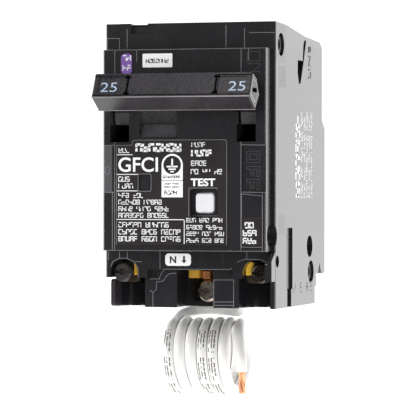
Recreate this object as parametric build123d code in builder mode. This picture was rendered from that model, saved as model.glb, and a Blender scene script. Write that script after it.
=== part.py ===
"""Two-pole plug-on circuit breaker with a ground-fault module between its poles.

The breaker lies on its back: +Z points out of its front face, +Y towards its line end, +X to the
right, and the origin is the middle of its footprint on the surface. Lengths are millimetres.
Y values in the sketches are measured from the load end.
"""
from build123d import *
from math import cos, pi, radians, sin, sqrt
import os

# ---- overall sizes -------------------------------------------------------------------------
LENGTH = 81.4
WIDTH = 50.8
SHOULDER_Z = 54.6
FRONT_RISE = 5.9
FRONT_Z = SHOULDER_Z + FRONT_RISE
HALF_WIDTH = WIDTH / 2

# ---- case walls and splits -----------------------------------------------------------------
WALL = 1.8
POLE_WIDTH = 12.7
PLATE_THICK = 1.4
MODULE_WALL = 1.4
SKIN = 2.0
PLATE_OUTER_X = HALF_WIDTH - POLE_WIDTH + PLATE_THICK
MODULE_HALF = HALF_WIDTH - POLE_WIDTH
CAVITY_X = HALF_WIDTH - WALL
FRONT_INSET = 1.2
FRONT_HALF = HALF_WIDTH - FRONT_INSET
FRONT_LOAD_Y = 16.3
FRONT_LINE_MARGIN = 7.7
FRONT_LINE_Y = LENGTH - FRONT_LINE_MARGIN
SEAM_LEFT_X = 4.8 - HALF_WIDTH
SEAM_RIGHT_X = HALF_WIDTH - 8.4
CHAMBER_Y = 14.6
LOAD_WALL_Y = CHAMBER_Y + WALL
EDGE_BREAK = 0.5

# ---- side outline, from the load end to the line end -----------------------------------------
LOAD_HEEL_Z = 11.4
HEEL_STEP_Y = 5.1
HEEL_STEP_Z = 9.7
HOOK_Y = 8.7
HOOK_LOW_Z = 3.9
HOOK_HIGH_Z = 7.8
HOOK_DEPTH = 3.2
BACK_SLOPE_START_Y = LENGTH - 29.3
BACK_SLOPE_RUN = 2.6
BACK_STEP_Z = 3.3
LINE_FOOT_INSET = 4.4
LINE_FOOT_Z = 2.6
LINE_LOW_INSET = 2.6
LINE_LOW_Z = 23.3
LINE_MID_INSET = 0.4
LINE_MID_Z = 42.8

# ---- handles and tie -------------------------------------------------------------------------
HANDLE_LEFT_X = 6.3 - HALF_WIDTH
HANDLE_RIGHT_X = HALF_WIDTH - 6.9
HANDLE_WIDTH = 5.0
WINDOW_CLEAR = 0.32
WINDOW_LOW_Y = 47.3
WINDOW_HIGH_Y = 66.2
PIVOT_Y = 56.5
PIVOT_Z = 45.0
PIN_RADIUS = 1.2
PIN_RUNNING_FIT = 0.05
HUB_RADIUS = 3.4
SHUTTER_RADIUS = 12.5
SHUTTER_THICK = 1.5
SHUTTER_LOW_DEG = -20.0
SHUTTER_HIGH_DEG = 48.0
SHUTTER_SLOT_MARGIN = 1.3
NECK_THICK = 5.6
TIE_HALF = HALF_WIDTH - 2.2
TIE_VERTEX = (59.6, 73.5)
TIE_TOP = (66.4, 70.0)
TIE_LOW = (56.1, 67.5)
TIE_BACK = (60.2, 63.6)
TIE_BACK_HIGH = (65.0, 66.2)
TIE_WINDOW_LENGTH = 8.0
TIE_WINDOW_WIDTH = 4.6
TIE_FIT = 0.1
TIE_CHAMFER = 0.35
TIE_NOTCH = 0.8
TIE_PIN_RADIUS = 0.6
TIE_PIN_DEPTH = 1.0
TIP_INNER_X = TIE_HALF - 9.6
TIP_OUTER_X = TIP_INNER_X + TIE_WINDOW_LENGTH
TIP_START = 1.8
TIP_DEPTH = 4.2
TIP_RECESS = 0.25
NECK_LENGTH = 23.0
HANDLE_ON_DEG = 13.5

# ---- load end ----------------------------------------------------------------------------------
ARCH_WIDTH = 8.2
ARCH_TOP_Y = 13.7
ARCH_RADIUS = 3.6
LUG_X = HALF_WIDTH - 5.6
CHAMBER_LOW_Y = 6.6
CHAMBER_FLOOR_Z = 43.4
CHANNEL_FLOOR_Z = 43.6
CHANNEL_END_Y = 8.5
CHANNEL_RADIUS = 4.4
EAR_THICK = 2.0
EAR_LOW_Y = 7.8
EAR_HIGH_Y = 13.5
EAR_Z = 58.5
SIDE_STEP = 1.5
SIDE_STEP_Z = 40.0
LEDGE_Y = 10.8
BLOCK_DROP = 2.0
NEUTRAL_LOW_X = -4.4
NEUTRAL_HIGH_X = 6.4
NEUTRAL_FLOOR_Z = 42.0
LUG_WIDTH = 7.4
LUG_LENGTH = 6.0
LUG_HEIGHT = 7.4
LUG_BORE_RADIUS = 2.4
LUG_CENTRE_Y = 10.1
LUG_SCREW_X = HALF_WIDTH - 4.7
STRAP_THICK = 0.8
SCREW_HEAD_RADIUS = 2.9
SCREW_HEAD_HEIGHT = 1.8
SCREW_SHANK_RADIUS = 1.6
SCREW_HOLE_RADIUS = SCREW_SHANK_RADIUS + 0.06
SCREW_SLOT = 0.8
SCREW_DRIVE_DEPTH = 0.9
SCREW_TIP_GAP = 0.4
NEUTRAL_SCREW_X = 2.9
NEUTRAL_SCREW_Y = 4.7
NEUTRAL_HEAD_RADIUS = 3.2
NEUTRAL_BAR_THICK = 1.6
NEUTRAL_TOWER = (-1.8, 1.3)
NEUTRAL_TOWER_Y = (8.4, 10.8)
NEUTRAL_TOWER_RISE = 6.0
NEUTRAL_CLAMP_THICK = 1.2
NEUTRAL_LOW_Y = 1.5
NEUTRAL_LIP_GAP = 0.25
NEUTRAL_LIP_WIDTH = 2.25

# ---- side-wall details and rivets --------------------------------------------------------------
RIVET_PLACES = ((9.55, 15.9), (LENGTH - 6.3, 48.9))
RIVET_RADIUS = 1.5
RIVET_HOLE_RADIUS = 1.55
RIVET_HEAD_RADIUS = 2.6
RIVET_HEAD_THICK = 0.9
COUNTERBORE_RADIUS = 3.3
COUNTERBORE_DEPTH = 1.6
TOOL_HOLE_PLACE = (17.1, 17.3)
TOOL_HOLE_RADIUS = 3.2
TOOL_HOLE_DEPTH = 1.4
EDGE_HOLE_PLACE = (20.7, 56.0)
EDGE_HOLE_RADIUS = 3.1
EDGE_HOLE_DEPTH = 2.2
GAUGE_HOLE_PLACE = (13.4, 52.5)
GAUGE_HOLE_RADIUS = 1.7
GROOVE_Y = (0, 22.8)
GROOVE_Z = (36.4, 43.4)
GROOVE_DEPTH = 0.7
GROOVE_NARROWING = 0.31
MARK_RECESS_Y = (33.1, 46.3)
MARK_RECESS_DEPTH = 0.4
NOTCH_X = (-17.7, -12.7)
NOTCH_DEPTH_Y = 0.9
NOTCH_RECESS_Y = 2.9
NOTCH_Z = 50.6
CORNER_STEP_X = 4.2 - HALF_WIDTH
CORNER_STEP_Y = LENGTH - 4.1
CORNER_STEP_DEPTH = 0.25

# ---- line end ----------------------------------------------------------------------------------
JAW_CENTRE_Y = LENGTH - 12.4
JAW_LENGTH = 10.0
JAW_GAP = 2.6
JAW_LEAF = 1.0
JAW_MOUTH_Z = 8.0
JAW_TOP_Z = 24.0
JAW_LEAD = 0.8
STAB_SLOT_LENGTH = 12.0
JAW_WINDOW = (
    (16.7, 27.8),
    (10.0, 24.2),
    (4.0, 21.6),
    (3.5, 23.0),
    (5.0, 24.6),
    (9.9, 25.4),
    (9.9, 30.9),
    (13.8, 30.9),
    (16.7, 29.6),
)
POLE_MID_X = (CAVITY_X + PLATE_OUTER_X) / 2
CAVITY_HALF = (CAVITY_X - PLATE_OUTER_X) / 2

# ---- pole mechanism ----------------------------------------------------------------------------
BOSS_WALL = 1.2
ARM_PIVOT = (58.5, 38.4)
CRADLE_PIVOT = (42.0, 38.0)
ARMATURE_PIVOT = (26.5, 39.0)
PIN_PLACES = ((PIVOT_Y, PIVOT_Z), ARM_PIVOT, CRADLE_PIVOT, ARMATURE_PIVOT)
LINK_HUB_RADIUS = 2.1
ARM_THICK = 3.0
ARM_HALF_DEPTH = 1.3
ARM_TIP = (61.4, 29.6)
CONTACT_RADIUS = 1.6
CONTACT_THICK = 0.8
CONTACT_GAP = 0.12
UPRIGHT_THICK = 1.6
CRADLE_THICK = 1.6
CRADLE_NOSE = (28.4, 33.0)
CRADLE_DEPTH = 2.6
ARMATURE_THICK = 1.2
ARMATURE_LOW_Z = 15.0
ARMATURE_WIDTH = 5.0
YOKE_Z = (20.0, 32.0)
YOKE_GAP = 2.4
YOKE_THICK = 1.4
BIMETAL_Y = 19.4
BIMETAL_THICK = 0.9
BIMETAL_WIDTH = 4.4
BIMETAL_Z = (13.0, 44.0)
BRAID_RADIUS = 0.5
CHUTE_PLATES = 5
CHUTE_PITCH = 2.9
CHUTE_THICK = 0.8
CHUTE_LOW_Z = 9.0
CHUTE_Y = (48.5, 60.0)
SPRING_RADIUS = 1.0
SPRING_BORE_RADIUS = 0.5
SPRING_OFFSET = 2.9
CLIP_THICK = 0.6
CLIP_HALF = 2.8
CHUTE_THROAT = 5.0
BIMETAL_FOOT = 3.0
YOKE_SIDE_GAP = 0.4
BRAID_GAP = 0.25
BRAID_BENDS = (6.0, 6.0, 5.0)
BRAID_ROUTE = ((32.0, 8.0), (44.0, 22.0), (50.0, 33.0))
SPRING_ARM_END = (58.0, 34.2)
SPRING_CRADLE_END = (45.0, 36.4)

# ---- module ------------------------------------------------------------------------------------
BUTTON_X = 6.1
BUTTON_Y = 30.0
BUTTON_SIZE = 5.5
BUTTON_FLANGE = 0.8
BUTTON_CORNER = 1.0
BUTTON_PROUD = 0.6
BUTTON_CLEAR = 0.25
RECESS_LENGTH = 8.2
RECESS_DEPTH = 1.2
RECESS_CORNER = 1.2
INDICATOR_X = -11.6
INDICATOR_Y = 35.8
INDICATOR_WIDTH = 3.6
INDICATOR_LENGTH = 4.8
INDICATOR_CORNER = 0.8
SCOOP_X = -7.6
SCOOP_LOW_Y = 48.6
SCOOP_HIGH_Y = 60.4
SCOOP_WIDTH = 11.2
SCOOP_BEND_Y = 52.6
SCOOP_DEPTH = 3.4
BOARD_THICK = 1.6
BOARD_Z = 44.0
BOARD_MARGIN = 0.4
BOARD_HOLE_RADIUS = 1.0
BOARD_HOLE_INSET = 2.0
BOARD_POSTS = ((20.0, 0.0), (LENGTH - 13.4, BACK_STEP_Z))
POST_SIZE = 3.0
COVER_RIBS_X = (-2.0, 13.6)
BUTTON_STEM = 8.0
BUTTON_STEM_RADIUS = 1.2
BUTTON_SPRING_RADIUS = 2.0
BUTTON_SPRING_WALL = 0.5
INDICATOR_SINK = 0.4
BOARD_BLOCKS = (
    ((-5.0, 28.0), (6.0, 9.0), 2.2),
    ((-6.5, 44.0), (5.0, 5.0), 4.0),
    ((4.0, 58.0), (8.0, 6.0), 5.5),
    ((4.0, 20.0), (3.0, 1.6), 1.0),
    ((-2.0, 36.0), (1.6, 3.0), 1.0),
)
BOARD_CANS = (((6.5, 46.0), 3.0, 7.0), ((-6.5, 60.0), 2.5, 6.0))

# ---- labels ------------------------------------------------------------------------------------
NAMEPLATE_X = (-20.0, 12.9)
NAMEPLATE_Y = (18.0, 47.9)
NAMEPLATE_CORNER = (-15.55, 46.5)
LABEL_CORNER = 0.3
STICKER_CORNER = 1.2
NEUTRAL_LABEL_CORNER = 1.0
FLAT_LABELS = {
    "date_label": ((HALF_WIDTH - 5.3, 22.1), (5.8, 8.2), FRONT_Z, LABEL_CORNER),
    "serial_label": ((-7.75, FRONT_LINE_Y - 3.25), (8.9, 3.9), FRONT_Z, LABEL_CORNER),
    "colour_sticker": ((-17.05, FRONT_LINE_Y - 4.1), (3.3, 5.8), FRONT_Z, STICKER_CORNER),
    "neutral_label": ((-3.45, 13.75), (7.7, 3.5), SHOULDER_Z, NEUTRAL_LABEL_CORNER),
}
SIDE_PRINT_Y = (31.0, 57.5)
SIDE_PRINT_Z = (10.0, 33.8)
PRINT_THICK = 0.12
LABEL_THICK = 0.15

TRIP_BAR_PLACE = (29.5, 24.0)
BAR_END_GAP = 0.3
TRIP_BAR_RADIUS = 1.6
BAR_WALL_CLEAR = 0.5
FINGER_THICK = 1.4
FINGER_WIDTH = 3.0
FINGER_GAP = 0.4
SOLENOID_Y = (36.0, 50.0)
SOLENOID_Z = 16.0
SOLENOID_RADIUS = 6.0
SOLENOID_SIZE = 13.0
PLUNGER_RADIUS = 1.8
PLUNGER_FIT = 0.06
PLUNGER_OUT = 3.0
SENSOR_PLACE = (0.0, LENGTH - 19.4)
SENSOR_RADIUS = 9.0
SENSOR_BORE = 4.0
SENSOR_HEIGHT = 7.0

# ---- neutral lead ------------------------------------------------------------------------------
LEAD_RADIUS = 1.65
COIL_MEAN_RADIUS = 10.05
COIL_PITCH = 3.4
COIL_TURNS = 7
COIL_FIRST_X = -17.9
COIL_AXIS_Y = -16.3
COIL_FLOOR_GAP = 0.3
COIL_AXIS_Z = COIL_MEAN_RADIUS + LEAD_RADIUS + COIL_FLOOR_GAP
BARE_RADIUS = 1.05
BARE_LENGTH = 6.5
LEAD_EXIT_X = 4.6
LEAD_EXIT_Z = 15.0
LEAD_SLEEVE = 2.4
LEAD_RUN_SHARE = 0.45
TAIL_X = 5.8
TAIL_END_Y = -20.2

SIDES = {"left": -1, "right": 1}
HANDLE_X = {"left": HANDLE_LEFT_X, "right": HANDLE_RIGHT_X}


def side_plane(x):
    """Plane at X = x whose sketch axes are the length (Y) and the height (Z)."""
    return Plane(origin=(x, -LENGTH / 2, 0), x_dir=(0, 1, 0), z_dir=(1, 0, 0))


def front_plane(z):
    """Plane at Z = z whose sketch axes are the width (X) and the length (Y)."""
    return Plane(origin=(0, -LENGTH / 2, z), x_dir=(1, 0, 0), z_dir=(0, 0, 1))


def end_plane(y):
    """Plane at Y = y whose sketch axes are the width (X) and the height (Z), seen from the load end."""
    return Plane(origin=(0, y - LENGTH / 2, 0), x_dir=(1, 0, 0), z_dir=(0, -1, 0))


def span(first, second):
    """Middle and size of the stretch between two places."""
    return (first + second) / 2, abs(second - first)


def box_cut(x_range, y_range, z_range, mode=Mode.SUBTRACT):
    """A box between three pairs of limits, added to or cut from the part that is being built."""
    x_mid, x_size = span(*x_range)
    y_mid, y_size = span(*y_range)
    with BuildSketch(front_plane(min(z_range))) as base:
        with Locations((x_mid, y_mid)):
            Rectangle(x_size, y_size)
    extrude(base.sketch, amount=abs(z_range[1] - z_range[0]), mode=mode)


def case_points():
    """Outline of the case below the shoulder, in length and height, from the load heel round."""
    line_foot_y = LENGTH - LINE_FOOT_INSET
    return [
        (0, LOAD_HEEL_Z),
        (HEEL_STEP_Y, LOAD_HEEL_Z),
        (HEEL_STEP_Y, HEEL_STEP_Z),
        (HOOK_Y, HEEL_STEP_Z),
        (HOOK_Y, HOOK_HIGH_Z),
        (HOOK_Y + HOOK_DEPTH, (HOOK_LOW_Z + HOOK_HIGH_Z) / 2),
        (HOOK_Y, HOOK_LOW_Z),
        (HOOK_Y, 0),
        (BACK_SLOPE_START_Y, 0),
        (BACK_SLOPE_START_Y + BACK_SLOPE_RUN, BACK_STEP_Z),
        (line_foot_y - BACK_STEP_Z + LINE_FOOT_Z, BACK_STEP_Z),
        (line_foot_y + LINE_FOOT_Z - BACK_STEP_Z / 2, BACK_STEP_Z + LINE_FOOT_Z),
        (LENGTH - LINE_LOW_INSET, LINE_LOW_Z),
        (LENGTH - LINE_MID_INSET, LINE_MID_Z),
        (LENGTH, SHOULDER_Z),
        (0, SHOULDER_Z),
    ]


def slab(x_low, x_high, mode=Mode.ADD):
    """The case outline between two X places."""
    with BuildSketch(side_plane(x_low)) as outline:
        with BuildLine():
            Polyline(*case_points(), close=True)
        make_face()
    extrude(outline.sketch, amount=x_high - x_low, mode=mode)


def cavity(x_low, x_high):
    """Cut the mechanism space, one wall inside the outline and beyond the load end's chamber."""
    with BuildSketch(side_plane(x_low)) as space:
        with BuildLine():
            Polyline(
                (LOAD_WALL_Y, WALL),
                (BACK_SLOPE_START_Y, WALL),
                (BACK_SLOPE_START_Y + BACK_SLOPE_RUN, BACK_STEP_Z + WALL),
                (LENGTH - LINE_FOOT_INSET - WALL, BACK_STEP_Z + WALL),
                (LENGTH - LINE_LOW_INSET - WALL, LINE_LOW_Z),
                (LENGTH - LINE_MID_INSET - WALL, LINE_MID_Z),
                (LENGTH - LINE_MID_INSET - WALL, SHOULDER_Z - WALL),
                (LOAD_WALL_Y, SHOULDER_Z - WALL),
                close=True,
            )
        make_face()
    extrude(space.sketch, amount=x_high - x_low, mode=Mode.SUBTRACT)


def save(part, name):
    """Label a finished piece and write it as its own file."""
    part.label = name
    export_step(part, f"parts/{name}.step")


def room_limits(side):
    """Distances from the middle between which a pole's handle and links have their room."""
    centre = abs(HANDLE_LEFT_X if side < 0 else HANDLE_RIGHT_X)
    half = HANDLE_WIDTH / 2 + WINDOW_CLEAR
    return centre - half, centre + half


def rivet_holes(x_low, x_high, radius=RIVET_HOLE_RADIUS):
    """Holes that the two through rivets pass in."""
    with BuildSketch(side_plane(x_low)) as holes:
        with Locations(*RIVET_PLACES):
            Circle(radius)
    extrude(holes.sketch, amount=x_high - x_low, mode=Mode.SUBTRACT)


def side_hole(place, radius, depth, side):
    """A round recess that is cut into the outer face of a pole."""
    with BuildSketch(side_plane(side * HALF_WIDTH)) as mouth:
        with Locations(place):
            Circle(radius)
    extrude(mouth.sketch, amount=-side * depth, mode=Mode.SUBTRACT)


def handle_slot(centre_x):
    """Cut the room for a handle's shutter, and its window through the raised front."""
    half = HANDLE_WIDTH / 2 + WINDOW_CLEAR
    reach = SHUTTER_RADIUS + SHUTTER_SLOT_MARGIN
    limits = (centre_x - half, centre_x + half)
    box_cut(limits, (PIVOT_Y - reach, PIVOT_Y + reach), (SHOULDER_Z - WALL, FRONT_Z - SKIN))
    box_cut(limits, (WINDOW_LOW_Y, WINDOW_HIGH_Y), (FRONT_Z - SKIN, FRONT_Z))


def stab_slot(centre_x, half_width):
    """Cut the mouth in the back that lets a bus stab into the line jaw."""
    limits = (JAW_CENTRE_Y - STAB_SLOT_LENGTH / 2, JAW_CENTRE_Y + STAB_SLOT_LENGTH / 2)
    box_cut((centre_x - half_width, centre_x + half_width), limits, (0, BACK_STEP_Z + WALL))


def lug_chamber(side):
    """Cut the arched screw opening, the lug's room below it and the wire channel that leads in."""
    centre_x = side * LUG_X
    strap_top = CHAMBER_FLOOR_Z + LUG_HEIGHT + STRAP_THICK
    limits = (centre_x - ARCH_WIDTH / 2, centre_x + ARCH_WIDTH / 2)
    box_cut(limits, (CHAMBER_LOW_Y, ARCH_TOP_Y), (CHAMBER_FLOOR_Z, strap_top))
    with BuildSketch(front_plane(strap_top)) as arch:
        with Locations((centre_x, (CHAMBER_LOW_Y + ARCH_TOP_Y) / 2)):
            Rectangle(ARCH_WIDTH, ARCH_TOP_Y - CHAMBER_LOW_Y)
        fillet(arch.vertices().group_by(Axis.Y)[-1], ARCH_RADIUS)
    extrude(arch.sketch, amount=SHOULDER_Z - strap_top, mode=Mode.SUBTRACT)
    channel_inner = PLATE_OUTER_X
    channel_outer = LUG_X + ARCH_WIDTH / 2
    channel_mid, channel_width = span(channel_inner, channel_outer)
    with BuildSketch(end_plane(CHAMBER_LOW_Y)) as channel:
        with Locations((side * channel_mid, CHANNEL_FLOOR_Z + CHANNEL_RADIUS)):
            Circle(CHANNEL_RADIUS)
        with Locations((side * channel_mid, SHOULDER_Z)):
            Rectangle(channel_width, 2 * (SHOULDER_Z - CHANNEL_FLOOR_Z - CHANNEL_RADIUS))
    extrude(channel.sketch, amount=CHAMBER_LOW_Y, mode=Mode.SUBTRACT)
    upper = sorted((side * channel_inner, side * channel_outer))
    box_cut(upper, (0, CHANNEL_END_Y), (CHANNEL_FLOOR_Z + CHANNEL_RADIUS, SHOULDER_Z))


def jaw_window(side):
    """Cut the keyhole-shaped inspection opening beside the line jaw."""
    with BuildSketch(side_plane(side * HALF_WIDTH)) as window:
        with BuildLine():
            Polyline(
                *[(LENGTH - inset, z) for inset, z in JAW_WINDOW],
                close=True,
            )
        make_face()
    extrude(window.sketch, amount=-side * WALL, mode=Mode.SUBTRACT)


def side_grooves(side):
    """Cut the shallow lengthwise groove of the outer face, narrower beyond the lug chamber."""
    outer = side * HALF_WIDTH
    limits = sorted((outer, outer - side * GROOVE_DEPTH))
    narrow = sum(GROOVE_Z) / 2
    half_narrow = (GROOVE_Z[1] - GROOVE_Z[0]) * GROOVE_NARROWING
    box_cut(limits, (HEEL_STEP_Y, GROOVE_Y[1]), GROOVE_Z)
    box_cut(limits, (GROOVE_Y[0], HEEL_STEP_Y), (narrow - half_narrow, narrow + half_narrow))


def pole_shell(name):
    """Outer half of one pole: side wall, ends, back, shoulder and its strip of the raised front."""
    side = SIDES[name]
    x_low, x_high = sorted((side * PLATE_OUTER_X, side * HALF_WIDTH))
    seam = SEAM_LEFT_X if side < 0 else SEAM_RIGHT_X
    strip = sorted((seam, side * FRONT_HALF))
    with BuildPart() as shell:
        slab(x_low, x_high)
        outer_face = shell.faces().filter_by(Axis.X).sort_by(lambda face: side * face.center().X)[-1]
        fillet(outer_face.edges().filter_by_position(Axis.Z, SHOULDER_Z, SHOULDER_Z), EDGE_BREAK)
        box_cut(strip, (FRONT_LOAD_Y, FRONT_LINE_Y), (SHOULDER_Z, FRONT_Z), mode=Mode.ADD)
        raised = shell.edges().filter_by_position(Axis.Z, FRONT_Z, FRONT_Z)
        rim = raised.filter_by(Axis.Y).sort_by(lambda edge: side * edge.center().X)[-1]
        fillet([rim, *raised.filter_by(Axis.X)], EDGE_BREAK)
        if side > 0:
            with BuildSketch(side_plane(HALF_WIDTH - EAR_THICK)) as ear:
                with BuildLine():
                    Polyline(
                        (EAR_LOW_Y, SHOULDER_Z),
                        (FRONT_LOAD_Y, SHOULDER_Z),
                        (EAR_HIGH_Y, EAR_Z),
                        (EAR_LOW_Y, EAR_Z),
                        close=True,
                    )
                make_face()
            extrude(ear.sketch, amount=EAR_THICK)
        else:
            corner = (-HALF_WIDTH, -HALF_WIDTH + SIDE_STEP)
            box_cut(corner, (0, CHANNEL_END_Y), (SIDE_STEP_Z, SHOULDER_Z))
            step = (-HALF_WIDTH, CORNER_STEP_X)
            box_cut(step, (CORNER_STEP_Y, LENGTH), (SHOULDER_Z - CORNER_STEP_DEPTH, SHOULDER_Z))
            notch(NOTCH_X)
        cavity(*sorted((side * PLATE_OUTER_X, side * CAVITY_X)))
        lug_chamber(side)
        handle_slot(HANDLE_X[name])
        stab_slot(side * POLE_MID_X, CAVITY_HALF)
        rivet_holes(x_low, x_high)
        for place in RIVET_PLACES:
            side_hole(place, COUNTERBORE_RADIUS, COUNTERBORE_DEPTH, side)
        side_hole(TOOL_HOLE_PLACE, TOOL_HOLE_RADIUS, TOOL_HOLE_DEPTH, side)
        side_hole(GAUGE_HOLE_PLACE, GAUGE_HOLE_RADIUS, WALL, side)
        side_hole(EDGE_HOLE_PLACE, EDGE_HOLE_RADIUS, EDGE_HOLE_DEPTH, side)
        jaw_window(side)
        side_grooves(side)
        if side > 0:
            box_cut(strip, MARK_RECESS_Y, (FRONT_Z - MARK_RECESS_DEPTH, FRONT_Z))
            box_cut((HALF_WIDTH - PRINT_THICK, HALF_WIDTH), SIDE_PRINT_Y, SIDE_PRINT_Z)
        pin_boss(side)
    return shell.part


def notch(x_limits):
    """Cut the latch notch in the line end's front edge, with the shallow recess beside it."""
    low, high = x_limits
    box_cut((low, high), (LENGTH - NOTCH_DEPTH_Y, LENGTH), (NOTCH_Z, SHOULDER_Z))
    recess = (LENGTH - NOTCH_RECESS_Y, LENGTH - NOTCH_DEPTH_Y)
    box_cut((low, high), recess, (SHOULDER_Z - NOTCH_DEPTH_Y, SHOULDER_Z))


def pin_boss(side):
    """Bosses inside the side wall that carry the ends of the pole's two pivot pins."""
    inner = side * CAVITY_X
    boss_end = room_limits(side)[1]
    for place in PIN_PLACES:
        with BuildSketch(side_plane(inner)) as boss:
            with Locations(place):
                Circle(PIN_RADIUS + BOSS_WALL)
        extrude(boss.sketch, amount=-side * (CAVITY_X - boss_end))
        with BuildSketch(side_plane(inner)) as bore:
            with Locations(place):
                Circle(PIN_RADIUS)
        extrude(bore.sketch, amount=-side * (CAVITY_X - boss_end), mode=Mode.SUBTRACT)


def pole_plate(name):
    """Inner cover of one pole, which closes its mechanism space towards the module."""
    side = SIDES[name]
    x_low, x_high = sorted((side * MODULE_HALF, side * PLATE_OUTER_X))
    plate_boss = room_limits(side)[0] - PLATE_OUTER_X
    with BuildPart() as plate:
        slab(x_low, x_high)
        rivet_holes(x_low, x_high)
        box_cut((x_low, x_high), (0, CHANNEL_END_Y), (SHOULDER_Z - BLOCK_DROP, SHOULDER_Z))
        with BuildSketch(side_plane(x_low)) as bar_hole:
            with Locations(TRIP_BAR_PLACE):
                Circle(TRIP_BAR_RADIUS + PIN_RUNNING_FIT)
        extrude(bar_hole.sketch, amount=PLATE_THICK, mode=Mode.SUBTRACT)
        if side < 0:
            notch((-PLATE_OUTER_X, -MODULE_HALF))
        for place in PIN_PLACES:
            with BuildSketch(side_plane(side * PLATE_OUTER_X)) as boss:
                with Locations(place):
                    Circle(PIN_RADIUS + BOSS_WALL)
            extrude(boss.sketch, amount=side * plate_boss)
            with BuildSketch(side_plane(side * PLATE_OUTER_X)) as bore:
                with Locations(place):
                    Circle(PIN_RADIUS)
            extrude(bore.sketch, amount=side * plate_boss, mode=Mode.SUBTRACT)
    return plate.part


def module_base():
    """Open tub between the poles that holds the ground-fault electronics."""
    inner = MODULE_HALF - MODULE_WALL
    with BuildPart() as base:
        slab(-MODULE_HALF, MODULE_HALF)
        cavity(-inner, inner)
        box_cut((-inner, inner), (FRONT_LOAD_Y + SKIN, FRONT_LINE_Y - SKIN), (SHOULDER_Z - WALL, SHOULDER_Z))
        neutral = (NEUTRAL_LOW_X, NEUTRAL_HIGH_X)
        box_cut(neutral, (0, LEDGE_Y), (NEUTRAL_FLOOR_Z, SHOULDER_Z))
        for block in ((-MODULE_HALF, NEUTRAL_LOW_X), (NEUTRAL_HIGH_X, MODULE_HALF)):
            box_cut(block, (0, LEDGE_Y), (SHOULDER_Z - BLOCK_DROP, SHOULDER_Z))
        rivet_holes(-MODULE_HALF, MODULE_HALF)
        with BuildSketch(side_plane(-MODULE_HALF)) as bar_hole:
            with Locations(TRIP_BAR_PLACE):
                Circle(TRIP_BAR_RADIUS + BAR_WALL_CLEAR)
        extrude(bar_hole.sketch, amount=2 * MODULE_HALF, mode=Mode.SUBTRACT)
        post_reach = (inner - POST_SIZE, inner)
        for sign in (-1, 1):
            posts = sorted((sign * post_reach[0], sign * post_reach[1]))
            for y, back_z in BOARD_POSTS:
                box_cut(posts, (y, y + POST_SIZE), (back_z, BOARD_Z), mode=Mode.ADD)
        with BuildSketch(end_plane(0)) as exit_hole:
            with Locations((LEAD_EXIT_X, LEAD_EXIT_Z)):
                Circle(LEAD_RADIUS)
        extrude(exit_hole.sketch, amount=-LEAD_SLEEVE, mode=Mode.SUBTRACT)
    return base.part


def front_cover():
    """Raised front of the module, lapping over both poles, with its windows and finger scoop."""
    seams = (SEAM_LEFT_X, SEAM_RIGHT_X)
    with BuildPart() as cover:
        box_cut(seams, (FRONT_LOAD_Y, FRONT_LINE_Y), (FRONT_Z - SKIN, FRONT_Z), mode=Mode.ADD)
        load_wall = (FRONT_LOAD_Y, FRONT_LOAD_Y + SKIN)
        line_wall = (FRONT_LINE_Y - SKIN, FRONT_LINE_Y)
        for wall in (load_wall, line_wall):
            box_cut(seams, wall, (SHOULDER_Z, FRONT_Z - SKIN), mode=Mode.ADD)
        for rib in COVER_RIBS_X:
            box_cut((rib - SKIN / 2, rib + SKIN / 2), (FRONT_LOAD_Y, FRONT_LINE_Y),
                    (SHOULDER_Z, FRONT_Z - SKIN), mode=Mode.ADD)
        scoop = (SCOOP_X - SCOOP_WIDTH / 2, SCOOP_X + SCOOP_WIDTH / 2)
        floor = (scoop[0] - SKIN / 2, scoop[1] + SKIN / 2)
        box_cut(floor, (SCOOP_LOW_Y - SKIN, SCOOP_HIGH_Y + SKIN), (SHOULDER_Z, FRONT_Z - SKIN),
                mode=Mode.ADD)
        with BuildSketch(side_plane(scoop[0])) as dish:
            with BuildLine():
                Polyline(
                    (SCOOP_LOW_Y, FRONT_Z),
                    (SCOOP_BEND_Y, FRONT_Z - SCOOP_DEPTH),
                    (SCOOP_HIGH_Y, FRONT_Z),
                    close=True,
                )
            make_face()
        extrude(dish.sketch, amount=SCOOP_WIDTH, mode=Mode.SUBTRACT)
        ends = cover.edges().filter_by_position(Axis.Z, FRONT_Z, FRONT_Z).filter_by(Axis.X)
        fillet([ends.sort_by(Axis.Y)[0], ends.sort_by(Axis.Y)[-1]], EDGE_BREAK)
        handle_slot(HANDLE_LEFT_X)
        handle_slot(HANDLE_RIGHT_X)
        with BuildSketch(front_plane(FRONT_Z - RECESS_DEPTH)) as recess:
            with Locations((BUTTON_X, BUTTON_Y)):
                RectangleRounded(RECESS_LENGTH, RECESS_LENGTH, RECESS_CORNER)
        extrude(recess.sketch, amount=RECESS_DEPTH, mode=Mode.SUBTRACT)
        with BuildSketch(front_plane(SHOULDER_Z)) as openings:
            with Locations((BUTTON_X, BUTTON_Y)):
                opening = BUTTON_SIZE + 2 * BUTTON_CLEAR
                RectangleRounded(opening, opening, BUTTON_CORNER)
            with Locations((INDICATOR_X, INDICATOR_Y)):
                RectangleRounded(INDICATOR_WIDTH, INDICATOR_LENGTH, INDICATOR_CORNER)
        extrude(openings.sketch, amount=FRONT_RISE, mode=Mode.SUBTRACT)
    return cover.part


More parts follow.
